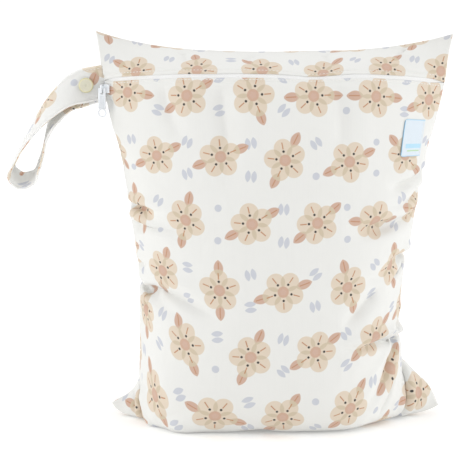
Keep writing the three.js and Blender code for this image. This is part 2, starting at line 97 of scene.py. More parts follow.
# A shader socket that takes Python arithmetic
class Wire:
    def __init__(self, paint, socket):
        self.paint = paint
        self.socket = socket

    def math(self, operation, *others):
        return self.paint.node('ShaderNodeMath', {'operation': operation}, dict(enumerate((self, *others))))

    def __add__(self, other):
        return self.math('ADD', other)

    def __sub__(self, other):
        return self.math('SUBTRACT', other)

    def __rsub__(self, other):
        return self.paint.node('ShaderNodeMath', {'operation': 'SUBTRACT'}, {0: other, 1: self})

    def __mul__(self, other):
        return self.math('MULTIPLY', other)

    def __truediv__(self, other):
        return self.math('DIVIDE', other)

    def __abs__(self):
        return self.math('ABSOLUTE')

    __radd__ = __add__
    __rmul__ = __mul__


class Paint:
    def __init__(self, name):
        self.material = bpy.data.materials.new(name)
        self.material.use_nodes = True
        self.tree = self.material.node_tree
        self.tree.nodes.clear()

    def node(self, kind, settings=None, sockets=None, out=0):
        made = self.tree.nodes.new(kind)
        for key, value in (settings or {}).items():
            setattr(made, key, value)
        for key, value in (sockets or {}).items():
            if isinstance(value, Wire):
                self.tree.links.new(value.socket, made.inputs[key])
            else:
                made.inputs[key].default_value = value
        return Wire(self, made.outputs[out])

    def split(self, wire):
        made = self.tree.nodes.new('ShaderNodeSeparateXYZ')
        self.tree.links.new(wire.socket, made.inputs[0])
        return [Wire(self, made.outputs[i]) for i in range(3)]

    def join(self, x, y, z):
        return self.node('ShaderNodeCombineXYZ', None, {0: x, 1: y, 2: z})

    def mix(self, share, low, high):
        return self.node('ShaderNodeMix', {'data_type': 'RGBA'}, {0: share, 6: low, 7: high}, 2)

    def inside(self, distance, soft):
        # 1 where distance is less than 0, with an edge that is soft wide
        return self.node('ShaderNodeMath', {'operation': 'MULTIPLY_ADD', 'use_clamp': True},
                         {0: distance, 1: -1 / soft, 2: 0.5})

    def noise(self, place, scale, detail=2.0, rough=0.5):
        return self.node('ShaderNodeTexNoise', None,
                         {'Vector': place, 'Scale': scale, 'Detail': detail, 'Roughness': rough})

    def bump(self, height, strength, distance, under=None):
        sockets = {'Height': height, 'Strength': strength, 'Distance': distance}
        if under:
            sockets['Normal'] = under
        return self.node('ShaderNodeBump', None, sockets)

    def flatPlace(self):
        # the place in mm on the piece as it lies flat
        across, up, _ = self.split(self.node('ShaderNodeUVMap', {'uv_map': 'flat'}))
        return across * flatUnit, up * flatUnit

    def objectPlace(self):
        return self.node('ShaderNodeTexCoord', None, None, 3)

    def edge(self):
        return self.node('ShaderNodeAttribute', {'attribute_name': 'edge'}, None, 2)

    def finish(self, **sockets):
        names = {key.replace('_', ' '): value for key, value in sockets.items()}
        shader = self.node('ShaderNodeBsdfPrincipled', None, names)
        output = self.tree.nodes.new('ShaderNodeOutputMaterial')
        self.tree.links.new(shader.socket, output.inputs['Surface'])
        return self.material


def tint(code):
    # a linear colour from six hexadecimal digits
    parts = [int(code[i:i + 2], 16) / 255 for i in (0, 2, 4)]
    return tuple(p / 12.92 if p < 0.04045 else ((p + 0.055) / 1.055) ** 2.4 for p in parts) + (1.0,)


printedCloth = {
    'ground': 'E5E5E2', 'sand': 'DACBB8', 'rose': 'C8A591', 'overlap': 'C6B79D',
    'stem': 'B4784D', 'seed': '2B2A2C', 'grey': 'C3C6CF', 'knitAndShadeColour': 'B9B3AA',
    # mm on the flat cloth
    'acrossPitch': 52, 'upPitch': 52, 'drift': 5,
    'petals': 5, 'petalOut': 9.6, 'petalRadius': 7.4,
    'leaves': 2, 'leafOut': 18.0, 'leafHalf': 6.8, 'leafBow': 4.2, 'leafTurn': 0.35,
    'veinShift': 0.6, 'veinHalf': 4.2,
    'heart': 4.6,
    'stemFrom': 8.8, 'stemTo': 14.2, 'stemHalf': 0.45,
    'seedOut': 7.1, 'seedRadius': 1.0,
    'smallAside': 2.4, 'smallBow': 4.0, 'smallRadius': 6.2, 'dotRadius': 2.9, 'dotShare': 0.4,
    'clearRadius': 20.5,
    'edge': 0.5, 'fineEdge': 0.4,
    # turns of noise in each mm across and up
    'knit': (0.9, 0.012), 'broad': (0.02, 0.02), 'weave': (3.0, 1.6),
    # shares of the darker colour: the knit's lines and the broad unevenness are the cloth's own tone, edgeShade
    # is painted shade where the edge attribute is full
    'knitShade': 0.10, 'broadShade': 0.03, 'edgeShade': 0.07,
    'rough': 0.78, 'roughChange': 0.12, 'sheen': 0.12,
}


def clothPaint(name, through):
    look = printedCloth
    soft, fine = look['edge'], look['fineEdge']
    paint = Paint(name)
    x, y = paint.flatPlace()

    def cell(value, pitch):
        number = (value / pitch).math('FLOOR')
        return value - (number + 0.5) * pitch, number

    def chance(columnNumber, rowNumber, seed):
        colour = paint.node('ShaderNodeTexWhiteNoise', {'noise_dimensions': '3D'},
                            {'Vector': paint.join(columnNumber, rowNumber, seed)}, 1)
        return paint.split(colour)

    def length(a, b):
        return (a * a + b * b).math('SQRT')

    def folded(turn, parts):
        # the place in one of a number of equal parts of a turn, from its middle line
        part = 2 * math.pi / parts
        within = ((turn / part).math('FRACT') - 0.5) * part
        return radius * within.math('COSINE'), radius * within.math('SINE')

    def lens(a, b, bow, reach):
        # the shape that two equal circles share
        return length(a, b - bow).math('MAXIMUM', length(a, b + bow)) - reach

    # blossoms: five sand petals over two rose leaves, a heart, and a line and a seed on each petal
    localY, rowNumber = cell(y, look['upPitch'])
    odd = rowNumber.math('FLOORED_MODULO', 2.0)
    localX, columnNumber = cell(x + odd * (look['acrossPitch'] / 2), look['acrossPitch'])
    first, second, third = chance(columnNumber, rowNumber, 1.0)
    localX = localX + (first - 0.5) * look['drift']
    localY = localY + (second - 0.5) * look['drift']
    radius = length(localX, localY)
    angle = localY.math('ARCTAN2', localX) + third * (2 * math.pi)
    along, aside = folded(angle, look['petals'])
    aside = abs(aside)
    petal = paint.inside(length(along - look['petalOut'], aside) - look['petalRadius'], soft)
    part = 2 * math.pi / look['petals']
    beside = length(along - look['petalOut'] * math.cos(part), aside - look['petalOut'] * math.sin(part))
    double = petal * paint.inside(beside - look['petalRadius'], soft)
    heart = paint.inside(radius - look['heart'], soft)
    leafAlong, leafAside = folded(angle + look['leafTurn'], look['leaves'])
    reach = math.hypot(look['leafHalf'], look['leafBow'])
    leaf = paint.inside(lens(leafAlong - look['leafOut'], leafAside, look['leafBow'], reach), soft)
    stemMiddle = (look['stemFrom'] + look['stemTo']) / 2
    stemLength = (look['stemTo'] - look['stemFrom']) / 2
    stem = (paint.inside(aside - look['stemHalf'], fine)
            * paint.inside(abs(along - stemMiddle) - stemLength, fine))
    vein = (paint.inside(abs(leafAside) - look['stemHalf'], fine)
            * paint.inside(abs(leafAlong - look['leafOut'] - look['veinShift']) - look['veinHalf'], fine))
    seed = paint.inside(length(along - look['seedOut'], aside) - look['seedRadius'], fine)

    # small grey leaves and dots between the blossoms
    halfX, halfY = look['acrossPitch'] / 2, look['upPitch'] / 2
    smallX, smallColumn = cell(x + halfX / 2, halfX)
    smallY, smallRow = cell(y, halfY)
    pick, turn, _ = chance(smallColumn, smallRow, 5.0)
    spin = turn * (2 * math.pi)
    cosine, sine = spin.math('COSINE'), spin.math('SINE')
    blade = lens(smallX * cosine + smallY * sine, abs(smallY * cosine - smallX * sine) - look['smallAside'],
                 look['smallBow'], look['smallRadius'])
    dot = length(smallX, smallY) - look['dotRadius']
    small = paint.inside(blade + (dot - blade) * pick.math('LESS_THAN', look['dotShare']), soft)
    small = small * paint.inside(look['clearRadius'] - radius, soft)

    colour = tint(look['ground'])
    for mask, cover, ink in ((small, 0.9, 'grey'), (leaf, 0.92, 'rose'), (vein * leaf, 0.6, 'stem'),
                             (petal, 0.94, 'sand'),
                             ((double + petal * leaf).math('MINIMUM', 1.0), 0.7, 'overlap'),
                             (heart, 0.9, 'rose'), (stem, 0.8, 'stem'), (seed, 0.95, 'seed')):
        colour = paint.mix(mask * cover, colour, tint(look[ink]))

    # the knit's fine lines run up the cloth
    def stretched(scale, depth, *settings):
        return paint.noise(paint.join(x * scale[0], y * scale[1], depth), 1.0, *settings)

    lines = stretched(look['knit'], 0.0, 3.0, 0.6)
    broad = stretched(look['broad'], 3.0, 2.0)
    weave = stretched(look['weave'], 0.0, 1.0)
    # painted shade: the edge attribute darkens the cloth along its seams, foot and top edge and in its creases,
    # on top of the knit's own darker lines
    shade = ((lines - 0.5) * look['knitShade'] + (broad - 0.5) * look['broadShade']
             + paint.edge() * look['edgeShade'])
    colour = paint.mix(shade.math('MAXIMUM', 0.0), colour, tint(look['knitAndShadeColour']))
    normal = paint.bump(lines, 0.35, 0.0002, paint.bump(weave, 0.25, 0.00012))
    return paint.finish(Base_Color=colour, Normal=normal,
                        Roughness=look['rough'] + (broad - 0.5) * look['roughChange'],
                        Sheen_Weight=look['sheen'], Sheen_Roughness=0.5, Specular_IOR_Level=0.3,
                        Subsurface_Weight=through, Subsurface_Scale=0.006,
                        Subsurface_Radius=(1.0, 1.0, 1.0))


def threadPaint():
    paint = Paint('whiteThread')
    fuzz = paint.noise(paint.objectPlace(), 2600.0, 1.0)
    colour = paint.mix(fuzz, tint('F4F3F0'), tint('DEDCD6'))
    return paint.finish(Base_Color=colour, Roughness=0.7, Normal=paint.bump(fuzz, 0.4, 0.0001))


def tapePaint():
    # a herringbone of slanting ribs
    ribPitch, rowHeight = 0.8, 3
    paint = Paint('twillTape')
    x, y = paint.flatPlace()
    slant = abs((y / rowHeight).math('FRACT') - 0.5) * rowHeight
    rib = ((x + slant) * (2 * math.pi / ribPitch)).math('SINE')
    colour = paint.mix(rib * 0.5 + 0.5, tint('E9E9E8'), tint('FAFAFA'))
    return paint.finish(Base_Color=colour, Roughness=0.85, Normal=paint.bump(rib, 0.4, 0.00012),
                        Sheen_Weight=0.1)


def plasticPaint(name, light, dark, rough, clear, rim=None):
    paint = Paint(name)
    place = paint.objectPlace()
    cloud = paint.noise(place, 160.0, 2.0)
    grain = paint.noise(place, 1800.0, 2.0)
    colour = paint.mix(cloud, tint(light), tint(dark))
    if rim:
        colour = paint.mix(paint.edge(), colour, tint(rim))
    return paint.finish(Base_Color=colour, Roughness=rough + (grain - 0.5) * 0.1,
                        Normal=paint.bump(grain, 0.12, 0.00008), Coat_Weight=0.25, Coat_Roughness=0.2,
                        Subsurface_Weight=clear, Subsurface_Scale=0.002,
                        Subsurface_Radius=(1.0, 1.0, 1.0))



# The stuffed shape, as the source makes it. Lengths are in mm; at is the share of the cloth's height,
# across runs from -1 at the left seam to 1 at the right one
bag = {
    'flatWidth': 300, 'flatHeight': 400, 'standHeight': 324, 'frontDepth': 67, 'backDepth': 74,
    'flankSag': 1.5, 'foldHold': 8, 'halfPoints': 81, 'footGap': 0.15,
    'zipDrop': 46, 'tapeShow': 3.5,
    'tableColumns': 201, 'tableRows': 281,
    'clothFull': 1.4, 'sideFull': 0.5, 'seamRound': 1.8,
    'columns': ('at', 'left', 'right', 'leftZ', 'rightZ', 'seamY', 'frontY', 'frontZ', 'backY', 'backZ',
                'leftRound', 'rightRound', 'edge'),
    'sections': (
        (0.000, 0.905, 0.925, 0.034, 0.028, 0.10, 0.10, 0.000, 0.091, 0.000, 14.0, 6.0, 0.60),
        (0.050, 0.800, 0.862, 0.062, 0.082, 0.10, -0.19, 0.000, 0.36, 0.000, 14.0, 5.0, 0.58),
        (0.100, 0.745, 0.765, 0.105, 0.126, 0.09, -0.49, 0.000, 0.63, 0.000, 13.0, 4.6, 0.56),
        (0.145, 0.745, 0.715, 0.145, 0.153, 0.09, -0.74, 0.011, 0.86, 0.012, 10.0, 4.0, 0.54),
        (0.190, 0.737, 0.702, 0.188, 0.194, 0.08, -0.90, 0.051, 0.96, 0.056, 6.0, 3.4, 0.53),
        (0.250, 0.740, 0.690, 0.247, 0.247, 0.08, -0.98, 0.123, 1.00, 0.130, 3.5, 2.8, 0.52),
        (0.400, 0.745, 0.712, 0.392, 0.385, 0.07, -1.00, 0.309, 0.99, 0.315, 2.4, 2.4, 0.52),
        (0.550, 0.786, 0.766, 0.537, 0.531, 0.06, -0.97, 0.494, 0.96, 0.500, 2.3, 2.3, 0.55),
        (0.700, 0.837, 0.820, 0.685, 0.679, 0.04, -0.88, 0.678, 0.85, 0.682, 2.2, 2.2, 0.66),
        (0.800, 0.893, 0.873, 0.784, 0.775, 0.03, -0.776, 0.799, 0.70, 0.801, 2.1, 2.1, 0.80),
        (0.885, 0.933, 0.920, 0.877, 0.873, 0.02, -0.64, 0.901, 0.47, 0.892, 2.0, 2.0, 0.95),
        (0.930, 0.945, 0.934, 0.929, 0.926, 0.01, -0.40, 0.929, 0.29, 0.923, 1.8, 1.8, 1.00),
        (1.000, 0.966, 0.960, 0.997, 0.990, 0.00, 0.00, 0.944, 0.00, 0.944, 2.0, 2.0, 1.00)),
    # face, across, at, long, wide, slant in degrees, depth: less than 0 stands out
    'folds': (
        (-1, -0.84, 0.577, 0.085, 0.018, -4, 0.060), (-1, -0.80, 0.548, 0.090, 0.020, -6, -0.030),
        (-1, -0.90, 0.430, 0.050, 0.014, 8, 0.045), (-1, -0.95, 0.375, 0.055, 0.013, -14, 0.110),
        (-1, 0.80, 0.640, 0.070, 0.022, -16, 0.055), (-1, 0.58, 0.562, 0.075, 0.018, 2, 0.035),
        (-1, 0.93, 0.455, 0.060, 0.014, 20, 0.110), (-1, 0.76, 0.215, 0.110, 0.016, 16, 0.090),
        (-1, 0.72, 0.252, 0.100, 0.020, 14, -0.040), (-1, 0.86, 0.110, 0.070, 0.016, 38, 0.070),
        (-1, -0.90, 0.100, 0.050, 0.014, -40, 0.060), (-1, 0.20, 0.885, 0.075, 0.080, 0, 0.080),
        (1, -0.84, 0.600, 0.090, 0.018, -6, 0.060), (1, -0.92, 0.385, 0.060, 0.014, 10, 0.090),
        (1, 0.82, 0.520, 0.080, 0.018, 10, 0.060), (1, 0.80, 0.250, 0.100, 0.016, 14, 0.080)),
    # scene only: face, width and depth, share of a ridge above, then the line's (across, at)
    'creases': (
        (-1, 3.2, 4.4, 0.5, (-1.0, 0.572), (-0.82, 0.584), (-0.60, 0.592)),
        (-1, 5.0, 5.4, 0.4, (-0.94, 0.526), (-0.80, 0.540), (-0.66, 0.556), (-0.46, 0.566)),
        (-1, 2.6, 2.6, 0.4, (-1.0, 0.418), (-0.90, 0.428), (-0.80, 0.440)),
        (-1, 3.0, 6.0, 0.5, (-1.0, 0.372), (-0.88, 0.366), (-0.78, 0.384), (-0.70, 0.398)),
        (-1, 6.5, 7.5, 0.3, (-0.84, 0.376), (-0.70, 0.398), (-0.55, 0.410), (-0.42, 0.404), (-0.30, 0.392)),
        (-1, 2.6, 3.4, 0.4, (-0.93, 0.350), (-0.84, 0.338), (-0.74, 0.336)),
        (-1, 3.0, 8.0, 0.3, (-1.0, 0.128), (-0.91, 0.092), (-0.83, 0.064), (-0.76, 0.030), (-0.72, 0.0)),
        (-1, 2.4, 2.4, 0.3, (-0.97, 0.066), (-0.90, 0.048), (-0.84, 0.026)),
        (-1, 3.6, 4.6, 0.5, (1.0, 0.676), (0.84, 0.656), (0.66, 0.642)),
        (-1, 4.4, 5.2, 0.5, (1.0, 0.626), (0.82, 0.604), (0.60, 0.606)),
        (-1, 6.0, 6.6, 0.4, (0.94, 0.556), (0.71, 0.560), (0.55, 0.566), (0.36, 0.582)),
        (-1, 3.4, 5.4, 0.5, (1.0, 0.452), (0.86, 0.462), (0.66, 0.480)),
        (-1, 2.8, 3.4, 0.4, (0.95, 0.438), (0.82, 0.424), (0.70, 0.420)),
        (-1, 7.0, 5.4, 0.2, (0.60, 0.420), (0.46, 0.392), (0.36, 0.372)),
        (-1, 2.8, 3.4, 0.5, (0.97, 0.300), (0.82, 0.288), (0.70, 0.290)),
        (-1, 3.4, 8.0, 0.7, (0.95, 0.226), (0.84, 0.248), (0.67, 0.290), (0.50, 0.313), (0.36, 0.326)),
        (-1, 2.8, 6.0, 0.3, (1.0, 0.158), (0.93, 0.118), (0.86, 0.090), (0.80, 0.062), (0.74, 0.034),
         (0.70, 0.008)),
        (-1, 3.4, 4.0, 0.4, (0.80, 0.182), (0.68, 0.150), (0.60, 0.130)),
        (-1, 2.6, 2.8, 0.4, (-1.0, 0.856), (-0.96, 0.832), (-0.94, 0.812)),
        (-1, 8.0, -5.0, 0.0, (-0.80, 0.160), (-0.72, 0.100), (-0.64, 0.056), (-0.54, 0.015)),
        (-1, 5.0, 2.0, 0.4, (-0.52, 0.975), (-0.50, 0.940), (-0.52, 0.905)),
        (-1, 6.0, 2.2, 0.4, (-0.12, 0.975), (-0.15, 0.940), (-0.13, 0.905)),
        (-1, 5.0, 2.0, 0.4, (0.27, 0.975), (0.30, 0.935), (0.27, 0.905)),
        (-1, 5.0, 2.2, 0.4, (0.74, 0.985), (0.70, 0.945), (0.72, 0.905)),
        (-1, 9.0, 3.6, 0.3, (-0.30, 0.860), (-0.27, 0.760), (-0.28, 0.640)),
        (-1, 9.0, 3.0, 0.3, (0.34, 0.860), (0.36, 0.780), (0.33, 0.690)),
        (-1, 8.0, 3.0, 0.3, (-0.62, 0.860), (-0.58, 0.800), (-0.50, 0.740)),
        (-1, 9.0, 3.4, 0.3, (-0.16, 0.070), (-0.10, 0.120), (0.00, 0.150)),
        (-1, 8.0, 3.6, 0.3, (-0.62, 0.120), (-0.52, 0.180), (-0.38, 0.220)),
        (1, 3.2, 4.4, 0.5, (-1.0, 0.610), (-0.80, 0.600), (-0.58, 0.610)),
        (1, 3.4, 6.5, 0.5, (-1.0, 0.380), (-0.86, 0.372), (-0.66, 0.392), (-0.40, 0.390)),
        (1, 6.5, 5.5, 0.4, (-0.70, 0.520), (-0.50, 0.540), (-0.30, 0.530)),
        (1, 2.8, 5.5, 0.3, (-1.0, 0.128), (-0.90, 0.086), (-0.80, 0.046), (-0.74, 0.0)),
        (1, 3.2, 4.8, 0.5, (1.0, 0.640), (0.80, 0.618), (0.56, 0.622)),
        (1, 3.4, 6.0, 0.5, (1.0, 0.452), (0.84, 0.468), (0.62, 0.476)),
        (1, 3.4, 7.0, 0.6, (1.0, 0.236), (0.82, 0.262), (0.60, 0.300), (0.44, 0.310)),
        (1, 7.0, 5.0, 0.3, (0.66, 0.390), (0.48, 0.400), (0.30, 0.392)),
        (1, 2.8, 5.5, 0.3, (1.0, 0.158), (0.90, 0.104), (0.80, 0.058), (0.72, 0.006)),
        (1, 9.0, 3.4, 0.3, (0.20, 0.940), (0.23, 0.820), (0.20, 0.720)),
        (1, 9.0, 3.4, 0.3, (-0.36, 0.940), (-0.33, 0.840), (-0.36, 0.750))),
    'slack': ((95, 1.6), (42, 0.7)),        # pitch and height of the cloth's broad unevenness
    # side, at, wide, pull
    'tucks': ((-1, 0.577, 0.016, 0.006), (-1, 0.375, 0.016, 0.014),
              (1, 0.455, 0.016, 0.014), (1, 0.235, 0.018, 0.008)),
}
creasing = {
    'parts': 60,                            # straight parts of a crease's line
    'square': 1.5, 'ridgeOff': 2.1, 'ridgeWide': 1.3,       # in widths of the crease
    'thin': 0.6, 'blunt': 0.8,              # its taper towards the end
    'startLong': 0.12, 'startReach': 0.33,  # shares of the line: a crease starts deep at the seam
    # fullShade: mm of depth where a crease's painted shade is full
    'fullShade': 5, 'seamHold': 24,
    'slackTop': 0.84, 'slackFade': 0.08, 'slackFoot': 30, 'seed': 31,
}
halfWidth = bag['flatWidth'] / 2
flatHeight = bag['flatHeight']
lipAt = 1 - bag['zipDrop'] / flatHeight
panelTop = 1 - (bag['zipDrop'] + bag['tapeShow']) / flatHeight
zipMiddle = (lipAt + panelTop) / 2


def column(name, at):
    rows = np.array(bag['sections'])
    knots, values = rows[:, 0], rows[:, bag['columns'].index(name)]
    at = np.asarray(at, float)
    i = np.clip(np.searchsorted(knots, at, 'left') - 1, 0, len(knots) - 2)
    low = np.maximum(np.arange(len(knots)) - 1, 0)
    high = np.minimum(np.arange(len(knots)) + 1, len(knots) - 1)
    slope = (values[high] - values[low]) / (knots[high] - knots[low])
    span = knots[i + 1] - knots[i]
    t = np.clip((at - knots[i]) / span, 0, 1)
    return (values[i] + (values[i + 1] - values[i]) * t * t * (3 - 2 * t)
            + slope[i] * span * t * (1 - t) ** 2 - slope[i + 1] * span * t * t * (1 - t))


def seamLine(side, at):
    at = np.asarray(at, float)
    x = -column('left', at) if side < 0 else column('right', at)
    z = np.maximum(column('leftZ' if side < 0 else 'rightZ', at), 0)
    tuck = sum(pull * np.exp(-((at - place) / wide) ** 2)
               for s, place, wide, pull in bag['tucks'] if s == side)
    return np.stack([x * halfWidth - side * tuck * bag['flatWidth'],
                     column('seamY', at) * bag['frontDepth'], z * bag['standHeight']], -1)


def crowd(steps, end=1.0, share=0.75):
    t = np.linspace(-1, 1, steps + 1)
    return end * (np.sin(t * math.pi / 2) * share + t * (1 - share))


def unit(vectors):
    return vectors / np.maximum(np.linalg.norm(vectors, axis=-1, keepdims=True), 1e-9)


class Face:
    # One face of the bag as a table of points: rows go up the cloth, columns across it
    def __init__(self, side):
        self.side = side
        self.across = np.linspace(-1, 1, bag['tableColumns'])
        self.up = np.linspace(0, 1, bag['tableRows'])
        self.points = self.plain()
        self.findNormals()
        self.press(bag['folds'])

    def plain(self):
        front = self.side < 0
        middleY = (column('frontY', self.up) * bag['frontDepth'] if front
                   else column('backY', self.up) * bag['backDepth'])[:, None]
        middleZ = np.maximum(column('frontZ' if front else 'backZ', self.up), 0)[:, None] * bag['standHeight']
        out = 1 - (1 - np.linspace(0, 1, bag['halfPoints'])) ** 2
        points = np.zeros((len(self.up), len(self.across), 3))
        for side in (-1, 1):
            seam = seamLine(side, self.up)
            roundness = column('leftRound' if side < 0 else 'rightRound', self.up)[:, None]
            belly = (1 - out ** roundness) ** column('edge', self.up)[:, None]
            half = np.stack([seam[:, :1] * out, seam[:, 1:2] + (middleY - seam[:, 1:2]) * belly,
                             middleZ + (seam[:, 2:] - middleZ) * out ** (roundness * bag['flankSag'])], -1)
            steps = np.linalg.norm(np.diff(half, axis=1), axis=2)
            length = np.concatenate([np.zeros((len(steps), 1)), np.cumsum(steps, 1)], 1)
            chosen = np.flatnonzero(self.across * side >= 0)
            for r in range(len(self.up)):
                want = np.abs(self.across[chosen]) * length[r, -1]
                for axis in range(3):
                    points[r, chosen, axis] = np.interp(want, length[r], half[r, :, axis])
        return points

    def findNormals(self):
        right = np.gradient(self.points, axis=1)
        above = np.gradient(self.points, axis=0)
        self.normals = unit(np.cross(right, above)) * -self.side

    def press(self, folds):
        u, v = np.meshgrid(self.across, self.up)
        depth = np.zeros_like(u)
        for side, across, at, long, wide, slant, deep in folds:
            if side != self.side:
                continue
            x = (u - across) * 0.5
            y = (v - at) * flatHeight / bag['flatWidth']
            c, s = math.cos(math.radians(slant)), math.sin(math.radians(slant))
            along, over = (x * c + y * s) / long, (y * c - x * s) / wide
            depth += deep * (1 - 0.5 * over ** 2) * np.exp(-along ** 2 - 0.5 * over ** 2)
        hold = 1 - np.abs(u) ** bag['foldHold']
        self.move(-self.normals * (depth * hold * bag['frontDepth'])[..., None])

    def move(self, by):
        # nothing goes below the floor
        self.points += by
        self.points[..., 2] = np.maximum(self.points[..., 2], 0)
        self.findNormals()

    def crease(self, lines):
        c = creasing
        u, v = np.meshgrid(self.across * halfWidth, self.up * flatHeight)
        depth = np.zeros_like(u)
        for side, wide, deep, ridge, *spots in lines:
            if side != self.side:
                continue
            line = np.array([curvePoint(np.array(spots), t) for t in np.linspace(0, 1, c['parts'] + 1)])
            line = line * (halfWidth, flatHeight)
            best = np.full(u.shape, 1e9)
            over = np.zeros_like(u)
            share = np.zeros_like(u)
            for i, (a, b) in enumerate(zip(line, line[1:])):
                way = (b - a) / max(np.hypot(*(b - a)), 1e-9)
                t = np.clip((u - a[0]) * way[0] + (v - a[1]) * way[1], 0, np.hypot(*(b - a)))
                dx, dy = u - a[0] - way[0] * t, v - a[1] - way[1] * t
                gap = np.hypot(dx, dy)
                near = gap < best
                best = np.where(near, gap, best)
                over = np.where(near, gap * np.sign(dy * abs(way[0]) + dx * abs(way[1]) + 1e-12), over)
                share = np.where(near, (i + 0.5) / c['parts'], share)
            taper = np.sin(np.clip(share, 0, 1) ** c['thin'] * math.pi) ** c['blunt']
            start = np.clip(share / c['startLong'], 0, 1)
            taper = np.where(share < c['startReach'], np.maximum(taper, start), taper)
            cut = np.exp(-(best / wide) ** c['square'])
            crest = ridge * np.exp(-((over - c['ridgeOff'] * wide) / (c['ridgeWide'] * wide)) ** 2)
            depth += deep * taper * (cut - crest)
        hold = 1 - np.abs(u / halfWidth) ** c['seamHold']
        # painted shade in the creases: full where a crease is fullShade mm deep, fading towards the seams
        self.shade = np.clip(depth / c['fullShade'], 0, 1) * hold
        free = (np.clip((c['slackTop'] - v / flatHeight) / c['slackFade'], 0, 1)
                * np.clip(v / c['slackFoot'], 0, 1))
        for number, (pitch, height) in enumerate(bag['slack']):
            seed = c['seed'] + number * 7 + (self.side > 0)
            depth += waves(u, v, pitch, seed) * height * free
        self.move(-self.normals * (depth * hold)[..., None])

    def sample(self, table, across, up):
        # smooth reading between the table's points
        across, up = np.broadcast_arrays(np.asarray(across, float), np.asarray(up, float))
        total = 0
        x = np.clip((across + 1) / 2, 0, 1) * (len(self.across) - 1)
        y = np.clip(up, 0, 1) * (len(self.up) - 1)
        i = np.clip(np.floor(x).astype(int), 0, len(self.across) - 2)
        j = np.clip(np.floor(y).astype(int), 0, len(self.up) - 2)
        for row, rowShare in enumerate(blendShares(y - j)):
            rows = np.clip(j + row - 1, 0, len(self.up) - 1)
            for spot, share in enumerate(blendShares(x - i)):
                columns = np.clip(i + spot - 1, 0, len(self.across) - 1)
                total = total + table[rows, columns] * (rowShare * share)[..., None]
        return total

    def surface(self, across, up, depth=0.0):
        # a point of the cloth's outer face, sunk by depth, and the way out of it
        across, up, depth = np.broadcast_arrays(
            np.asarray(across, float), np.asarray(up, float), np.asarray(depth, float))
        point = self.sample(self.points, across, up)
        normal = unit(self.sample(self.normals, across, up))
        full = bag['sideFull'] + (bag['clothFull'] - bag['sideFull']) * np.abs(normal[..., 1])
        for gap in ((1 - np.abs(across)) * halfWidth, (1 - up) * flatHeight, up * flatHeight):
            near = np.clip(1 - gap / bag['seamRound'], 0, 1)
            full = full * np.sqrt(1 - near ** 2)
        point = point + normal * (full - depth)[..., None]
        point[..., 2] = np.maximum(point[..., 2], bag['footGap'])
        return point, normal


def blendShares(t):
    return (0.5 * (-t + 2 * t ** 2 - t ** 3), 0.5 * (2 - 5 * t ** 2 + 3 * t ** 3),
            0.5 * (t + 4 * t ** 2 - 3 * t ** 3), 0.5 * (t ** 3 - t ** 2))


# The flat cut is longer at the side seams than the stuffed shape, so the settled cloth puckers there
settling = {
    'columns': 60, 'rows': 92, 'frames': 24, 'crowding': 0.6,
    'holdFrom': 0.80, 'holdTo': 0.87,       # share of the height where the zip and top hold the cloth
    'footFrom': 1.5, 'cornerUp': 0.02, 'cornerOut': 0.9,        # what rests on the floor stays there
    'cap': 9, 'broad': 34,                  # mm a point may move, and the width of what is left to the shape
    'keepEarly': 0.02, 'keepFade': 0.06,
    'solver': {
        'quality': 6, 'mass': 0.08, 'use_pressure': True, 'uniform_pressure_force': 2.5,
        'tension_stiffness': 25, 'compression_stiffness': 25, 'shear_stiffness': 8, 'bending_stiffness': 0.5,
        'tension_damping': 12, 'compression_damping': 12, 'shear_damping': 12, 'bending_damping': 1,
        'air_damping': 4},
}


def readVectors(items, key):
    values = np.zeros(len(items) * 3, np.float32)
    items.foreach_get(key, values)
    return values.reshape(-1, 3)


def blurred(table, reachUp, reachAcross):
    for axis, reach in ((0, reachUp), (1, reachAcross)):
        spots = np.arange(-2 * reach, 2 * reach + 1)
        weights = np.exp(-0.5 * (spots / max(reach, 1)) ** 2)
        weights /= weights.sum()
        widths = [(0, 0)] * table.ndim
        widths[axis] = (2 * reach, 2 * reach)
        wider = np.pad(table, widths, mode='reflect', reflect_type='odd')
        table = sum(w * np.take(wider, np.arange(table.shape[axis]) + k, axis=axis)
                    for k, w in enumerate(weights))
    return table


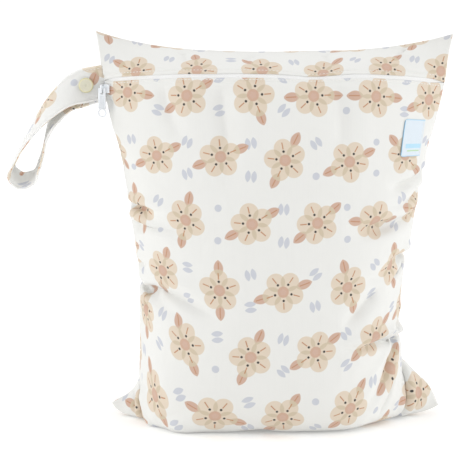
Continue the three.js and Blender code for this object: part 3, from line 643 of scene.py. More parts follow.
def settle(faces):
    s = settling
    scene = bpy.context.scene
    across = crowd(s['columns'], share=s['crowding'])
    up = np.linspace(0, 1, s['rows'] + 1)
    u, v = np.meshgrid(across, up)
    starts = [face.sample(face.points, u, v) for face in faces]
    bm = bmesh.new()
    marks = bm.verts.layers.float_vector.new('place')
    for number, (face, start) in enumerate(zip(faces, starts)):
        made = bmesh.ops.create_grid(bm, x_segments=s['columns'], y_segments=s['rows'], size=1)
        for vert in made['verts']:
            c = round((vert.co.x + 1) / 2 * s['columns'])
            r = round((vert.co.y + 1) / 2 * s['rows'])
            vert[marks] = (u[r, c], v[r, c], number)
            vert.co = Vector(start[r, c]) * mm
        if face.side > 0:
            rear = list({f for vert in made['verts'] for f in vert.link_faces})
            bmesh.ops.reverse_faces(bm, faces=rear)
    bmesh.ops.remove_doubles(bm, verts=bm.verts, dist=0.1 * mm)
    mesh = bpy.data.meshes.new('settling')
    bm.to_mesh(mesh)
    bm.free()
    piece = bpy.data.objects.new('settling', mesh)
    scene.collection.objects.link(piece)
    place = readVectors(mesh.attributes['place'].data, 'vector')
    before = readVectors(mesh.vertices, 'co')

    piece.shape_key_add(name='Basis')
    cut = piece.shape_key_add(name='cut')
    flat = np.stack([place[:, 0] * halfWidth, place[:, 2] * 0.5, place[:, 1] * flatHeight], -1) * mm
    cut.data.foreach_set('co', flat.astype(np.float32).ravel())
    cut.value = 0
    hold = np.clip((place[:, 1] - s['holdFrom']) / (s['holdTo'] - s['holdFrom']), 0, 1)
    resting = (before[:, 2] < s['footFrom'] * mm) | (
        (place[:, 1] < s['cornerUp']) & (np.abs(place[:, 0]) > s['cornerOut']))
    hold = np.maximum(hold, resting)
    group = piece.vertex_groups.new(name='hold')
    for index, weight in enumerate(hold):
        if weight > 0:
            group.add([index], float(weight), 'REPLACE')
    modifier = piece.modifiers.new('settle', 'CLOTH')
    cloth = modifier.settings
    for key, value in s['solver'].items():
        setattr(cloth, key, value)
    cloth.rest_shape_key = cut
    cloth.vertex_group_mass = 'hold'
    cloth.effector_weights.gravity = 0
    modifier.collision_settings.use_collision = False
    modifier.point_cache.frame_end = s['frames']
    for step in range(1, s['frames'] + 1):
        scene.frame_set(step)
    settled = piece.evaluated_get(bpy.context.evaluated_depsgraph_get()).data
    moved = (readVectors(settled.vertices, 'co') - before) / mm
    scene.frame_set(1)
    bpy.data.objects.remove(piece)
    print('cloth settled, farthest', round(float(np.abs(moved).max()), 1), 'mm')

    tree = KDTree(len(before))
    for index, point in enumerate(before):
        tree.insert(point, index)
    tree.balance()
    for face, start in zip(faces, starts):
        nearest = [tree.find(point)[1] for point in start.reshape(-1, 3) * mm]
        coarse = moved[nearest].reshape(start.shape)
        rows = np.stack([[np.interp(face.across, across, coarse[r, :, k]) for k in range(3)]
                         for r in range(len(up))])
        fine = np.stack([[np.interp(face.up, up, rows[:, k, c]) for c in range(len(face.across))]
                         for k in range(3)])
        fine = np.transpose(fine, (2, 1, 0))
        broadUp = round(s['broad'] / flatHeight * (len(face.up) - 1))
        broadAcross = round(s['broad'] / bag['flatWidth'] * (len(face.across) - 1))
        fine = fine - blurred(fine, broadUp, broadAcross)
        reach = np.linalg.norm(fine, axis=-1, keepdims=True)
        fine = fine / (1 + reach / s['cap'])
        keep = 1 - np.clip((face.up - s['holdFrom'] + s['keepEarly']) / s['keepFade'], 0, 1)
        face.move(blurred(fine, 1, 1) * keep[:, None, None])


def addPiece(name, bm, material):
    mesh = bpy.data.meshes.new(name)
    bm.to_mesh(mesh)
    bm.free()
    for face in mesh.polygons:
        face.use_smooth = True
    mesh.materials.append(material)
    made = bpy.data.objects.new(name, mesh)
    bpy.context.scene.collection.objects.link(made)
    return made


def gridSheet(name, points, flat, material, edge=None, flip=False):
    # a sheet from a grid of points in mm, rows by columns, whose UV map holds its flat place
    rows, columns = points.shape[:2]
    bm = bmesh.new()
    bmesh.ops.create_grid(bm, x_segments=columns - 1, y_segments=rows - 1, size=1)
    bm.verts.ensure_lookup_table()
    shades = bm.verts.layers.float.new('edge')
    layer = bm.loops.layers.uv.new('flat')
    spots = {}
    for vert in bm.verts:
        c = round((vert.co.x + 1) / 2 * (columns - 1))
        r = round((vert.co.y + 1) / 2 * (rows - 1))
        spots[vert.index] = (r, c)
        vert.co = Vector(points[r, c]) * mm
        # edge, where given, is the share of painted shade, kept as the edge attribute
        if edge is not None:
            vert[shades] = float(edge[r, c])
    for face in bm.faces:
        for loop in face.loops:
            loop[layer].uv = flat[spots[loop.vert.index]] / flatUnit
    if flip:
        bmesh.ops.reverse_faces(bm, faces=bm.faces)
    return addPiece(name, bm, material)


def solid(piece, thickness):
    wall = piece.modifiers.new('wall', 'SOLIDIFY')
    wall.thickness = thickness * mm
    wall.offset = -1
    wall.use_rim = True
    return piece


def waves(across, up, size, seed):
    # soft unevenness from a few seeded sines
    random = np.random.default_rng(seed)
    total = np.zeros(np.broadcast(across, up).shape)
    for _ in range(7):
        turn, phase = random.uniform(0, math.pi), random.uniform(0, 2 * math.pi)
        pitch = size * random.uniform(0.7, 1.5)
        total = total + np.sin((across * math.cos(turn) + up * math.sin(turn)) * 2 * math.pi / pitch + phase)
    return total / 7


panels = {
    'columns': 168, 'frontRows': 186, 'backRows': 190, 'stripRows': 30,
    'wall': 0.45, 'hem': 0.95,              # one layer of cloth, and a folded hem
    'pucker': 0.8, 'puckerReach': 9, 'puckerPitch': 8.5, 'puckerLong': 0.3, 'puckerStart': 1.5,
    'zipClose': 9, 'closeShare': 0.46,      # the gap of the zip closes towards both ends
    'lipWave': 0.5, 'lipPitch': 60, 'lipReach': 30,
    # shares of painted shade near the side seams, the foot and the top edge, and in the creases
    'sideShade': 3, 'footShade': 4, 'topShade': 5, 'topShadeMore': 2.6, 'creaseShadeMore': 1.2, 'shadeMost': 2.6,
    # heights of the rows that round off the seams, as shares of the cloth
    'footRows': [0, 0.0006, 0.0013, 0.0022, 0.0034], 'topRows': [0.9972, 0.9986, 0.9994, 1],
}


def panelSheet(name, face, rows, material, slip):
    # rows holds the height on the cloth and the depth under its outer face
    p = panels
    across = crowd(p['columns'])
    u, v = np.meshgrid(across, rows[:, 0])
    gap = (1 - np.abs(u)) * halfWidth
    closing = np.exp(-(gap / p['zipClose']) ** 2) * p['closeShare'] * (lipAt - panelTop)
    wave = waves(u * halfWidth, np.zeros_like(u), p['lipPitch'], 5) * p['lipWave'] / flatHeight
    if rows[-1, 0] < lipAt:
        v = v + (closing + wave) * np.clip(1 - (panelTop - v) * flatHeight / p['lipReach'], 0, 1)
    elif rows[0, 0] > zipMiddle:
        v = v - (closing - wave) * np.clip(1 - (v - lipAt) * flatHeight / p['lipReach'], 0, 1)
    near = np.exp(-gap / p['puckerReach'])
    ripple = waves(gap * p['puckerLong'], v * flatHeight, p['puckerPitch'], 11 + (face.side > 0))
    depth = rows[:, 1:2] + near * ripple * p['pucker'] * (1 - np.exp(-gap / p['puckerStart']))
    points, _ = face.surface(u, v, depth)
    flat = np.stack([(u + 1) * halfWidth + slip[0], v * flatHeight + slip[1]], -1)
    # painted shade: the edge attribute is darker along the side seams, the foot and the top edge, and in the
    # creases
    edge = (np.exp(-gap / p['sideShade']) + np.exp(-v * flatHeight / p['footShade'])
            + np.exp(-(1 - v) * flatHeight / p['topShade']) * p['topShadeMore'])
    edge += face.sample(face.shade[..., None], u, v)[..., 0] * p['creaseShadeMore']
    edge = np.clip(edge, 0, p['shadeMost'])
    return solid(gridSheet(name, points, flat, material, edge, flip=face.side > 0), p['wall'])


def hemRows(edgeAt, inward):
    # the cloth turns under at edgeAt; inward is 1 where the cloth lies above the edge and -1 below it
    hem = panels['hem']
    turn = [(9, hem), (3, hem), (0.9, hem), (0.25, hem * 0.85), (0, hem * 0.5), (0.25, hem * 0.15),
            (0.9, 0), (1.8, 0), (2.6, 0.05), (3.1, 0.2), (3.5, 0.3), (3.9, 0.2), (4.4, 0.05), (6, 0)]
    return [(edgeAt + inward * far / flatHeight, depth) for far, depth in turn]


def plainRows(low, high, count):
    return [(v, 0) for v in np.linspace(low, high, count)]


def makePanels(front, back, material):
    p = panels
    foot, top = ([(v, 0) for v in p[key]] for key in ('footRows', 'topRows'))
    hem = hemRows(panelTop, -1)[::-1]
    rows = foot + plainRows(0.005, hem[0][0], p['frontRows'])[:-1] + hem
    frontCloth = panelSheet('frontCloth', front, np.array(rows), material, (0, 0))

    hem = hemRows(lipAt, 1)
    rows = hem + plainRows(hem[-1][0], 0.993, p['stripRows'])[1:] + [(0.9955, 0)] + top
    stripCloth = panelSheet('stripCloth', front, np.array(rows), material, (17, 31))

    rows = foot + plainRows(0.005, 0.995, p['backRows']) + top
    backCloth = panelSheet('backCloth', back, np.array(rows), material, (9, 14))
    for piece, node, flat in ((frontCloth, 'front_panel', (0.3, 0.3505)),
                              (stripCloth, 'top_strip', (0.3, 0.046)),
                              (backCloth, 'back_panel', (0.3, 0.4))):
        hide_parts(node)
        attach(piece, 'bag')
    print('cloth panels made')


zipParts = {
    'tapeWidth': 18, 'tapeThickness': 0.6, 'tapeDepth': 0.9, 'tapeMargin': 2,
    'tapeColumns': 110, 'tapeRows': 19, 'crowding': 0.4,
    'coilDepth': 2.2, 'coilWidth': 4, 'coilMargin': 14,
    'toothPitch': 1.3, 'toothLong': 0.8, 'toothDeep': 1.2, 'toothBevel': 0.25,
}


def makeZip(front, tapeMaterial, toothMaterial):
    z = zipParts
    across = crowd(z['tapeColumns'], 1 - z['tapeMargin'] / halfWidth, z['crowding'])
    half = z['tapeWidth'] / 2 / flatHeight
    u, v = np.meshgrid(across, np.linspace(zipMiddle - half, zipMiddle + half, z['tapeRows']))
    points, _ = front.surface(u, v, z['tapeDepth'])
    flat = np.stack([(u + 1) * halfWidth, v * flatHeight], -1)
    tape = solid(gridSheet('zipTwillTape', points, flat, tapeMaterial), z['tapeThickness'])
    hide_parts('zip_tape')
    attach(tape, 'bag')

    reach = 1 - z['coilMargin'] / halfWidth
    count = round(2 * reach * halfWidth / z['toothPitch'])
    spots = np.linspace(-reach, reach, count)
    points, normals = front.surface(spots, zipMiddle, z['coilDepth'])
    above, _ = front.surface(spots, zipMiddle + 0.01, z['coilDepth'])
    beside = unit(np.gradient(points, axis=0))
    up = unit(above - points)
    bm = bmesh.new()
    for i in range(count):
        frameMatrix = Matrix([beside[i], up[i], normals[i]]).transposed().to_4x4()
        frameMatrix.translation = Vector(points[i]) * mm
        shape = Matrix.Diagonal((z['toothLong'] * mm, z['coilWidth'] * mm, z['toothDeep'] * mm, 1))
        made = bmesh.ops.create_cube(bm, size=1, matrix=frameMatrix @ shape)
        edges = list({edge for vert in made['verts'] for edge in vert.link_edges})
        bmesh.ops.bevel(bm, geom=edges, offset=z['toothBevel'] * mm, segments=1, profile=0.5,
                        affect='EDGES', material=-1)
    coil = addPiece('zipCoilTeeth', bm, toothMaterial)
    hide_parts('zip_coil')
    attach(coil, 'bag')
    print('zip made')


slider = {
    'length': 8, 'height': 7, 'plate': 1.5, 'plateBevel': 0.45, 'turn': 22,
    'rearFrom': 1.1, 'rearTo': 2.1, 'rearBevel': 0.3,       # the rear plate, behind the front one
    'postFrom': 2.6, 'postTo': 0.5, 'postHalf': 0.9, 'postBevel': 0.2,      # joins the plates at one end
    'crownShift': 1.8, 'crownWidth': 1.6, 'crownMetal': 0.9, 'crownLeg': 3.1, 'crownInner': 0.4,
    'crownBend': 0.9, 'crownCut': 0.25,
}
pull = {
    'width': 6.4, 'length': 24, 'thickness': 1.4, 'crossbar': 1.3, 'slack': 0.25, 'eyeSpare': 0.15,
    'bevel': 0.28,
    'ribs': (-1.5, 0, 1.5), 'ribHalf': 0.35, 'ribOut': 0.2, 'ribFoot': 1.9, 'ribHead': 1.2, 'ribBevel': 0.15,
    'bandIn': 0.15, 'bandFrom': 0.35, 'bandTo': 1.5, 'bandBevel': 0.2,
    'ring': 7.6, 'ringWire': 1.1, 'ringSpare': 0.08, 'ringLap': 0.6,
}
crownInside = math.hypot(pull['thickness'], pull['crossbar']) + pull['slack'] * 2
crownReach = crownInside + slider['crownMetal']
crownHalf = slider['crownLeg'] + slider['crownMetal'] / 2
hingeOut = crownInside / 2


def bevelEdges(bm, edges, width, segments=2):
    bmesh.ops.bevel(bm, geom=edges, offset=width, segments=segments, profile=0.5, affect='EDGES',
                    material=-1, clamp_overlap=True)


def boxInto(bm, low, high, bevel, segments=2):
    low, high = Vector(low), Vector(high)
    shape = Matrix.Translation((low + high) / 2) @ Matrix.Diagonal((*(high - low), 1))
    made = bmesh.ops.create_cube(bm, size=1, matrix=shape)
    bevelEdges(bm, list({edge for vert in made['verts'] for edge in vert.link_edges}), bevel, segments)


def makeSlider(material):
    s = slider
    turn = Matrix.Rotation(math.radians(-s['turn']), 4, 'Z')
    hinge = Vector(frame['joints'][0]['pos_m'])
    toHinge = Vector((-s['crownShift'], -hingeOut, 0)) * mm
    place = Matrix.Translation(hinge - turn @ toHinge) @ turn

    bm = bmesh.new()
    long, tall, plate = s['length'] / 2, s['height'] / 2, s['plate']
    boxInto(bm, (-long, 0, -tall), (long, plate, tall), s['plateBevel'])
    boxInto(bm, (-long, plate + s['rearFrom'], -tall), (long, plate + s['rearTo'], tall), s['rearBevel'])
    boxInto(bm, (long - s['postFrom'], plate * 0.6, -s['postHalf']),
            (long - s['postTo'], plate * 2, s['postHalf']), s['postBevel'])
    # crown: a strap of metal bent over the plate
    outer, inner, bend, cut = crownReach, s['crownInner'], s['crownBend'], s['crownCut']
    half = [(-outer, crownHalf - bend), (-outer + cut, crownHalf - cut), (-outer + bend, crownHalf),
            (inner, crownHalf)]
    path = [(y, -z) for y, z in reversed(half)] + half
    bars = []
    for y, z in path:
        bars.append([bm.verts.new((side * s['crownWidth'] / 2 - s['crownShift'], y, z)) for side in (-1, 1)])
    faces = [bm.faces.new((a[0], a[1], b[1], b[0])) for a, b in zip(bars, bars[1:])]
    bmesh.ops.recalc_face_normals(bm, faces=faces)
    middle = Vector((-s['crownShift'], 0, 0))
    if sum(f.normal.dot(f.calc_center_median() - middle) for f in faces) < 0:
        bmesh.ops.reverse_faces(bm, faces=faces)
    bmesh.ops.solidify(bm, geom=faces, thickness=s['crownMetal'])
    bmesh.ops.transform(bm, matrix=place @ Matrix.Scale(mm, 4), verts=bm.verts)
    bmesh.ops.recalc_face_normals(bm, faces=bm.faces)
    piece = addPiece('sliderBody', bm, material)
    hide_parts('zip_slider')
    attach(piece, 'bag')

    # pull: a ribbed bar with an eye over the crown, and a ring at its end
    p = pull
    half, deep, top = p['width'] / 2, p['thickness'] / 2, p['crossbar'] / 2
    eyeEnd = math.hypot(crownReach - hingeOut, crownHalf) + p['slack']
    eyeHalf = s['crownWidth'] / 2 + p['slack'] + p['eyeSpare']
    ringMiddle = -(p['length'] - top - p['ring'] / 2)
    barEnd = ringMiddle + p['ring'] / 2 - p['ringLap']
    bm = bmesh.new()
    xs = (-half, -eyeHalf, eyeHalf, half)
    zs = (barEnd, -eyeEnd, -top, top)
    bmesh.ops.create_grid(bm, x_segments=3, y_segments=3, size=1)
    for vert in bm.verts:
        c, r = (round((value + 1) * 1.5) for value in vert.co.xy)
        vert.co = Vector((xs[c], -deep, zs[r]))
    eye = [f for f in bm.faces if abs(f.calc_center_median().x) < 0.1
           and -eyeEnd < f.calc_center_median().z < -top]
    bmesh.ops.delete(bm, geom=eye, context='FACES')
    bmesh.ops.solidify(bm, geom=list(bm.faces), thickness=p['thickness'])
    for vert in bm.verts:
        if abs(vert.co.y + deep) > 0.01:
            vert.co.y = deep
    bmesh.ops.recalc_face_normals(bm, faces=bm.faces)
    sharp = [e for e in bm.edges if len(e.link_faces) == 2 and e.calc_face_angle(0) > 0.5]
    bevelEdges(bm, sharp, p['bevel'])
    # raised ribs and a cross band, moulded in one with the bar
    out = deep + p['ribOut']
    for x in p['ribs']:
        boxInto(bm, (x - p['ribHalf'], -out, barEnd + p['ribFoot']),
                (x + p['ribHalf'], out, -eyeEnd - p['ribHead']), p['ribBevel'], 1)
    boxInto(bm, (-half + p['bandIn'], -out, barEnd + p['bandFrom']),
            (half - p['bandIn'], out, barEnd + p['bandTo']), p['bandBevel'], 1)
    wire = bmesh.ops.create_circle(
        bm, segments=12, radius=p['ringWire'] / 2 + p['ringSpare'],
        matrix=Matrix.Translation((p['ring'] / 2 - p['ringWire'] / 2, 0, ringMiddle)))['verts']
    edges = list({e for v in wire for e in v.link_edges})
    bmesh.ops.spin(bm, geom=wire + edges, cent=(0, 0, ringMiddle), axis=(0, 1, 0), angle=2 * math.pi,
                   steps=36, use_merge=True)
    bmesh.ops.recalc_face_normals(bm, faces=bm.faces)
    bmesh.ops.transform(bm, matrix=Matrix.Translation(hinge) @ turn @ Matrix.Scale(mm, 4), verts=bm.verts)
    piece = addPiece('pullTab', bm, material)
    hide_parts('zip_pull')
    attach(piece, 'pull')
    print('slider and pull made')


strap = {
    'width': 28, 'thickness': 2, 'reach': 75, 'drop': 81, 'rootDrop': 49, 'rootSpan': 0.02, 'hang': 0.92,
    'rise': 0.35, 'seamGap': 0.3,
    'samples': 260, 'tuckIn': 4, 'tuckPoints': 3,           # both ends run on into the side seam
    'bow': 0.35, 'bowPitch': 26,
    'dimple': 0.35, 'dimpleRadius': 6.5, 'dimpleWide': 2.2,         # the snap pulls the layers together
    'stitchAcross': 11.6, 'stitchOut': 0.66,
    'printAt': 60, 'printBack': 100,        # where its two layers lie on the printed cloth
    # out, down, turn, layer, lean, as in the source
    'stations': (
        (0.000, 0.000, 0.00, -0.55, 0.00), (0.180, 0.030, 0.06, -1.00, 0.00), (0.340, 0.085, 0.50, -0.95, 0.05),
        (0.480, 0.180, 0.66, -0.60, 0.10), (0.630, 0.320, 0.80, -0.30, 0.10), (0.780, 0.500, 0.94, 0.00, 0.12),
        (0.920, 0.710, 1.00, 0.00, 0.12), (1.000, 0.900, 1.00, 0.00, 0.08), (0.910, 1.000, 1.00, 0.00, 0.05),
        (0.770, 0.960, 1.00, 0.00, 0.00), (0.700, 0.830, 1.00, 0.00, 0.00), (0.655, 0.700, 1.00, 0.00, 0.00),
        (0.620, 0.560, 1.00, 0.10, 0.00), (0.570, 0.440, 0.95, 0.40, 0.00), (0.500, 0.330, 0.86, 0.80, 0.00),
        (0.365, 0.160, 0.50, 1.20, 0.00), (0.180, 0.065, 0.05, 1.00, 0.00), (0.000, 0.030, 0.00, 0.55, 0.00)),
    # across the strap: place and half thickness, with a channel along each stitch line
    'profile': ((-14.0, 0.0), (-13.8, 0.55), (-13.1, 1.0), (-12.3, 0.95), (-11.6, 0.62), (-10.9, 0.9),
                (-9.5, 1.05), (-5, 1.12), (0, 1.15), (5, 1.12), (9.5, 1.05), (10.9, 0.9), (11.6, 0.62),
                (12.3, 0.95), (13.1, 1.0), (13.8, 0.55), (14.0, 0.0)),
}
snap = {
    'diameter': 12, 'capHeight': 1.7, 'offset': 14, 'socketDiameter': 8, 'socketHeight': 1.8, 'gap': 0.6,
    'seat': 0.45, 'steps': 40,
    # shares of the radius and the height, from the middle of the outer face to that of the inner one
    'cap': ((0, 0.62), (0.10, 0.64), (0.16, 0.86), (0.22, 0.9), (0.62, 0.86), (0.74, 0.80), (0.80, 0.84),
            (0.90, 0.66), (0.97, 0.4), (1, 0.2), (0.97, 0), (0, 0)),
    'post': ((0, 1), (0.5, 1), (0.56, 0.7), (0.9, 0.7), (1, 0.5), (1, 0.1), (0.95, 0), (0, 0)),
    'rimSteep': 6, 'rimStart': 4.6,         # the rim's colour rises near the edge
}


def travelled(points):
    # the way along a line of points, at each of them
    return np.concatenate([[0], np.cumsum(np.linalg.norm(np.diff(points, axis=0), axis=1))])


def padded(rows, count):
    return np.concatenate([np.repeat(rows[:1], count, 0), rows, np.repeat(rows[-1:], count, 0)])


def curvePoint(points, t):
    # the point at t of the source's centripetal spline
    last = len(points) - 1
    p = last * min(max(t, 0), 1)
    i = min(int(p), last - 1)
    w = p - i
    p1, p2 = points[i], points[i + 1]
    p0 = points[i - 1] if i > 0 else 2 * points[0] - points[1]
    p3 = points[i + 2] if i + 2 <= last else 2 * points[last] - points[last - 1]
    d0, d1, d2 = (max(np.linalg.norm(b - a) ** 0.5, 1e-4) for a, b in ((p0, p1), (p1, p2), (p2, p3)))
    t1 = ((p1 - p0) / d0 - (p2 - p0) / (d0 + d1) + (p2 - p1) / d1) * d1
    t2 = ((p2 - p1) / d1 - (p3 - p1) / (d1 + d2) + (p3 - p2) / d2) * d1
    return (p1 + t1 * w + (-3 * p1 + 3 * p2 - 2 * t1 - t2) * w ** 2 + (2 * p1 - 2 * p2 + t1 + t2) * w ** 3)


def strapFrames(samples):
    s = strap
    rootAt = 1 - s['rootDrop'] / flatHeight
    root, upper, lower = seamLine(-1, [rootAt, rootAt + s['rootSpan'], rootAt - s['rootSpan']])
    seamWay = unit(upper - lower)
    pitch = (s['thickness'] + snap['socketHeight']) / 2 + snap['gap']
    rows = np.array(s['stations'])
    points = np.stack([root[0] - s['seamGap'] * 2 - rows[:, 0] * s['reach'], root[1] + rows[:, 3] * pitch,
                       root[2] - rows[:, 1] * s['drop']], -1)
    fine = np.linspace(0, 1, 1201)
    line = np.array([curvePoint(points, t) for t in fine])
    length = travelled(line)
    t = np.interp(np.linspace(0, length[-1], samples), length, fine)
    centre = np.array([curvePoint(points, x) for x in t])
    along = unit(np.array([curvePoint(points, x + 1e-4) - curvePoint(points, x - 1e-4) for x in t]))
    place = t * (len(rows) - 1)
    turn = np.interp(place, range(len(rows)), rows[:, 2]) * math.pi / 2
    lean = np.interp(place, range(len(rows)), rows[:, 4])
    hang = unit(np.stack([lean, np.full(samples, s['hang']), np.full(samples, s['rise'])], -1))
    width = seamWay * np.cos(turn)[:, None] + hang * np.sin(turn)[:, None]
    width = soften(width, samples // 40)
    width = unit(width - along * (width * along).sum(1, keepdims=True))
    outward = unit(np.cross(width, along))
    return centre, width, outward, along, length[-1]


def soften(rows, reach):
    weights = np.hanning(2 * reach + 3)[1:-1]
    weights /= weights.sum()
    return np.stack([np.convolve(values, weights, 'valid') for values in padded(rows, reach).T], -1)


def makeStrap(clothMaterial, plasticMaterial):
    s = strap
    centre, width, outward, along, total = strapFrames(s['samples'])
    extra = s['tuckPoints']
    snapX = seamLine(-1, 1 - s['rootDrop'] / flatHeight)[0] - snap['offset']
    third = s['samples'] // 3
    frontAt = extra + int(np.argmin(np.abs(centre[:third, 0] - snapX)))
    backAt = extra + 2 * third + int(np.argmin(np.abs(centre[2 * third:, 0] - snapX)))
    steps = np.arange(1, extra + 1)[:, None] * s['tuckIn'] / extra
    middle = np.concatenate([centre[0] - along[0] * steps[::-1], centre, centre[-1] + along[-1] * steps])
    width, outward = padded(width, extra), padded(outward, extra)
    travel = travelled(middle)

    profile = list(s['profile'])
    outline = profile + [(w, -n) for w, n in profile[-2:0:-1]] + profile[:1]
    rows, flatRows = [], []
    for i, (w, n) in enumerate(outline):
        puff = np.full(len(middle), n)
        bow = waves(travel, np.full(len(middle), w), s['bowPitch'], 3) * s['bow']
        for spot in (frontAt, backAt):
            gap = np.hypot(travel - travel[spot], w)
            puff = puff * (1 - s['dimple'] * np.exp(-((gap - s['dimpleRadius']) / s['dimpleWide']) ** 2))
        rows.append(middle + width * w + outward * (puff + bow)[:, None])
        layer = s['printBack'] if i > len(profile) else s['printAt']
        flatRows.append(np.stack([travel, np.full(len(middle), w + layer)], -1))
    points, flatRows = np.array(rows), np.array(flatRows)
    piece = gridSheet('strapLoop', points, flatRows, clothMaterial)
    bm = bmesh.new()
    bm.from_mesh(piece.data)
    bmesh.ops.remove_doubles(bm, verts=bm.verts, dist=1e-7)
    bmesh.ops.holes_fill(bm, edges=[e for e in bm.edges if e.is_boundary], sides=0)
    bmesh.ops.recalc_face_normals(bm, faces=bm.faces)
    bm.to_mesh(piece.data)
    bm.free()
    for face in piece.data.polygons:
        face.use_smooth = True
    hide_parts('wrist_strap')
    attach(piece, 'bag')

    inner = slice(extra, -extra)
    lines = [(middle[inner] + width[inner] * w + outward[inner] * n, outward[inner] * np.sign(n))
             for w in (-s['stitchAcross'], s['stitchAcross']) for n in (-s['stitchOut'], s['stitchOut'])]
    print('strap made, loop of', round(total, 1), 'mm')

    for name, node, at in (('snapFrontCap', 'snap_cap', frontAt), ('snapRearCap', 'snap_back_cap', backAt)):
        seat = middle[at] + outward[at] * (s['thickness'] / 2 + snap['gap'] * snap['seat'])
        turned(name, node, snap['cap'], snap['diameter'], snap['capHeight'], seat, outward[at], plasticMaterial)
    between = (middle[frontAt] + middle[backAt]) / 2 + np.array([0, snap['socketHeight'] / 2, 0])
    turned('snapPost', 'snap_socket', snap['post'], snap['socketDiameter'], snap['socketHeight'], between,
           np.array([0, -1, 0]), plasticMaterial)
    return lines


def turned(name, node, profile, diameter, height, seat, out, material):
    radius = diameter / 2 * mm
    bm = bmesh.new()
    verts = [bm.verts.new((x * radius, 0, z * height * mm)) for x, z in profile]
    edges = [bm.edges.new(pair) for pair in zip(verts, verts[1:])]
    bmesh.ops.spin(bm, geom=verts + edges, cent=(0, 0, 0), axis=(0, 0, 1), angle=2 * math.pi,
                   steps=snap['steps'], use_merge=True)
    bmesh.ops.remove_doubles(bm, verts=bm.verts, dist=1e-7)
    bmesh.ops.recalc_face_normals(bm, faces=bm.faces)
    shades = bm.verts.layers.float.new('edge')
    for vert in bm.verts:
        vert[shades] = min(max(vert.co.xy.length / radius * snap['rimSteep'] - snap['rimStart'], 0), 1)
    place = Vector(out).to_track_quat('Z', 'Y').to_matrix().to_4x4()
    place.translation = Vector(seat) * mm
    bmesh.ops.transform(bm, matrix=place, verts=bm.verts)
    piece = addPiece(name, bm, material)
    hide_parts(node)
    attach(piece, 'bag')


label = {
    'width': 22, 'height': 34, 'thickness': 0.45, 'drop': 81, 'margin': 17, 'gap': 0.15, 'corner': 2.6,
    'lean': 4.5,                            # its foot hangs to the left of its top
    'columns': 25, 'rows': 33,
    'curl': 0.5, 'curlWide': 9, 'curlTall': 26, 'rimBevel': 0.2,
    'stitchIn': 1.4, 'stitchEnd': 1.2,
    'satinLow': 'D2DDE7', 'satinHigh': 'DCE6EE', 'satinPitch': 0.7,
    'border': 'A9D2EA', 'borderWide': 0.9, 'fold': '6FA6C8', 'foldWide': 0.5,
    # place and half size across, place and half size up, colour
    'marks': ((12.5, 8.5, 9.5, 2.0, 'A5D8F0'), (12.5, 6.5, 5.2, 0.55, 'A9D68A')),
    'soft': 0.4,
}


def labelPaint():
    look = label
    paint = Paint('wovenLabel')
    x, y = paint.flatPlace()
    satin = ((x + y * 0.6) * (2 * math.pi / look['satinPitch'])).math('SINE')
    fromEdge = x.math('MINIMUM', y).math('MINIMUM', look['height'] - y)
    border = paint.inside(fromEdge - look['borderWide'], 0.5)
    fold = paint.inside(x - look['foldWide'], look['soft'])
    colour = paint.mix(satin * 0.5 + 0.5, tint(look['satinLow']), tint(look['satinHigh']))
    colour = paint.mix(border * 0.8, colour, tint(look['border']))
    colour = paint.mix(fold * 0.85, colour, tint(look['fold']))
    for middle, half, height, tall, ink in look['marks']:
        mark = (paint.inside(abs(y - height) - tall, look['soft'])
                * paint.inside(abs(x - middle) - half, look['soft']))
        colour = paint.mix(mark * 0.75, colour, tint(ink))
    return paint.finish(Base_Color=colour, Roughness=0.5 + satin * 0.06,
                        Normal=paint.bump(satin, 0.3, 0.0001), Sheen_Weight=0.15)


def makeLabel(front, material):
    s = label
    top = 1 - s['drop'] / flatHeight
    edge = 1 - s['margin'] / halfWidth
    x, y = np.meshgrid(np.linspace(0, s['width'], s['columns']), np.linspace(0, s['height'], s['rows']))
    # the left corners are rounded off
    for middleY, way in ((s['corner'], -1), (s['height'] - s['corner'], 1)):
        dx, dy = s['corner'] - x, (y - middleY) * way
        within = (dx > 0) & (dy > 0)
        reach = np.maximum(dx, dy) / np.maximum(np.hypot(dx, dy), 1e-9)
        x = np.where(within, s['corner'] - dx * reach, x)
        y = np.where(within, middleY + dy * reach * way, y)
    u = edge - (s['width'] - x + s['lean'] * (1 - y / s['height'])) / halfWidth
    v = top - (s['height'] - y) / flatHeight
    curl = (s['curl'] * np.clip(1 - x / s['curlWide'], 0, 1) ** 2
            * (0.3 + 0.7 * np.clip(1 - y / s['curlTall'], 0, 1)))
    points, _ = front.surface(u, v, -(s['gap'] + s['thickness'] + curl))
    piece = solid(gridSheet('labelTab', points, np.stack([x, y], -1), material), s['thickness'])
    rim = piece.modifiers.new('rim', 'BEVEL')
    rim.width = s['rimBevel'] * mm
    rim.segments = 2
    rim.limit_method = 'ANGLE'
    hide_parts('side_label')
    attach(piece, 'bag')
    spots = np.linspace(s['stitchEnd'], s['height'] - s['stitchEnd'], 60)
    inset = s['stitchIn'] + s['lean'] * (1 - spots / s['height'])
    stitch, normal = front.surface(edge - inset / halfWidth, top - (s['height'] - spots) / flatHeight,
                                   -(s['gap'] + s['thickness']))
    print('label made')
    return [(stitch, normal)]


stitching = {
    'pitch': 2.9, 'labelPitch': 1.9, 'length': 2.2, 'width': 0.55, 'height': 0.4, 'look': 0.4,
    'reach': 0.975, 'samples': 400,
    'lipUp': 3.5, 'lipDeep': 0.25, 'panelDown': 1.6,        # from the edges of the zip's gap
}


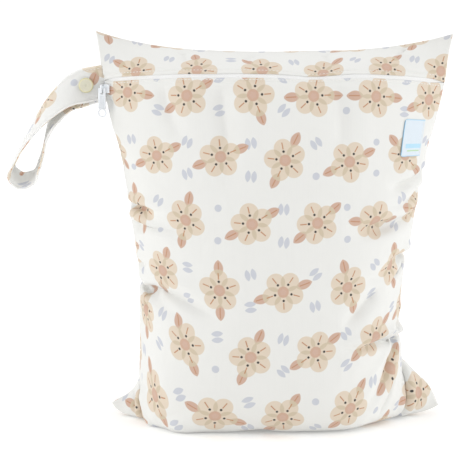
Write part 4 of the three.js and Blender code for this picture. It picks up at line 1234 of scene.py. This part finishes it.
def stitchRows(name, lines, material, pitch):
    s = stitching
    size = Matrix.Diagonal((s['length'] / 2 * mm, s['width'] / 2 * mm, s['height'] / 2 * mm, 1))
    lying = size @ Matrix.Rotation(math.pi / 2, 4, 'Y')
    bm = bmesh.new()
    for points, normals in lines:
        length = travelled(points)
        spots = np.arange(pitch / 2, length[-1], pitch)

        def read(table, places):
            return np.stack([np.interp(places, length, table[:, k]) for k in range(3)], -1)

        at, up = read(points, spots), unit(read(normals, spots))
        way = unit(read(points, spots + s['look']) - read(points, spots - s['look']))
        for i in range(len(spots)):
            side = unit(np.cross(up[i], way[i]))
            turn = Matrix([way[i], side, unit(np.cross(way[i], side))]).transposed().to_4x4()
            turn.translation = Vector(at[i]) * mm
            bmesh.ops.create_uvsphere(bm, u_segments=6, v_segments=5, radius=1, matrix=turn @ lying)
    piece = addPiece(name, bm, material)
    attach(piece, 'bag')


def seamStitches(front):
    s = stitching
    across = np.linspace(-s['reach'], s['reach'], s['samples'])
    return [front.surface(across, lipAt + s['lipUp'] / flatHeight, s['lipDeep']),
            front.surface(across, panelTop - s['panelDown'] / flatHeight, 0.0)]


makeStudio()
front, back = Face(-1), Face(1)
settle((front, back))
for face in (front, back):
    face.crease(bag['creases'])
thread = threadPaint()
whitePlastic = plasticPaint('whitePlastic', 'F4F7FA', 'E6ECF3', 0.32, 0.25)
creamPlastic = plasticPaint('creamPlastic', 'DCD9C8', 'D6D2BD', 0.38, 0.2, 'DAD3A6')
makePanels(front, back, clothPaint('printedCloth', 0.0))
makeZip(front, tapePaint(), whitePlastic)
makeSlider(whitePlastic)
strapLines = makeStrap(clothPaint('strapCloth', 0.7), creamPlastic)
labelLines = makeLabel(front, labelPaint())
stitchRows('panelStitches', seamStitches(front), thread, stitching['pitch'])
stitchRows('strapStitches', strapLines, thread, stitching['pitch'])
stitchRows('labelStitches', labelLines, thread, stitching['labelPitch'])
print('stitches made')

floorMesh = bmesh.new()
bmesh.ops.create_grid(floorMesh, x_segments=1, y_segments=1, size=studio['floorSize'] / 2)
floor = addPiece('floor', floorMesh, Paint('paleFloor').finish(
    Base_Color=tint(studio['floorColour']), Roughness=studio['floorRough'],
    Emission_Color=(1, 1, 1, 1), Emission_Strength=studio['floorGlow']))
floor.data.transform(Matrix.Translation((0, 0, -studio['floorSink'] * mm)))
print('floor made')
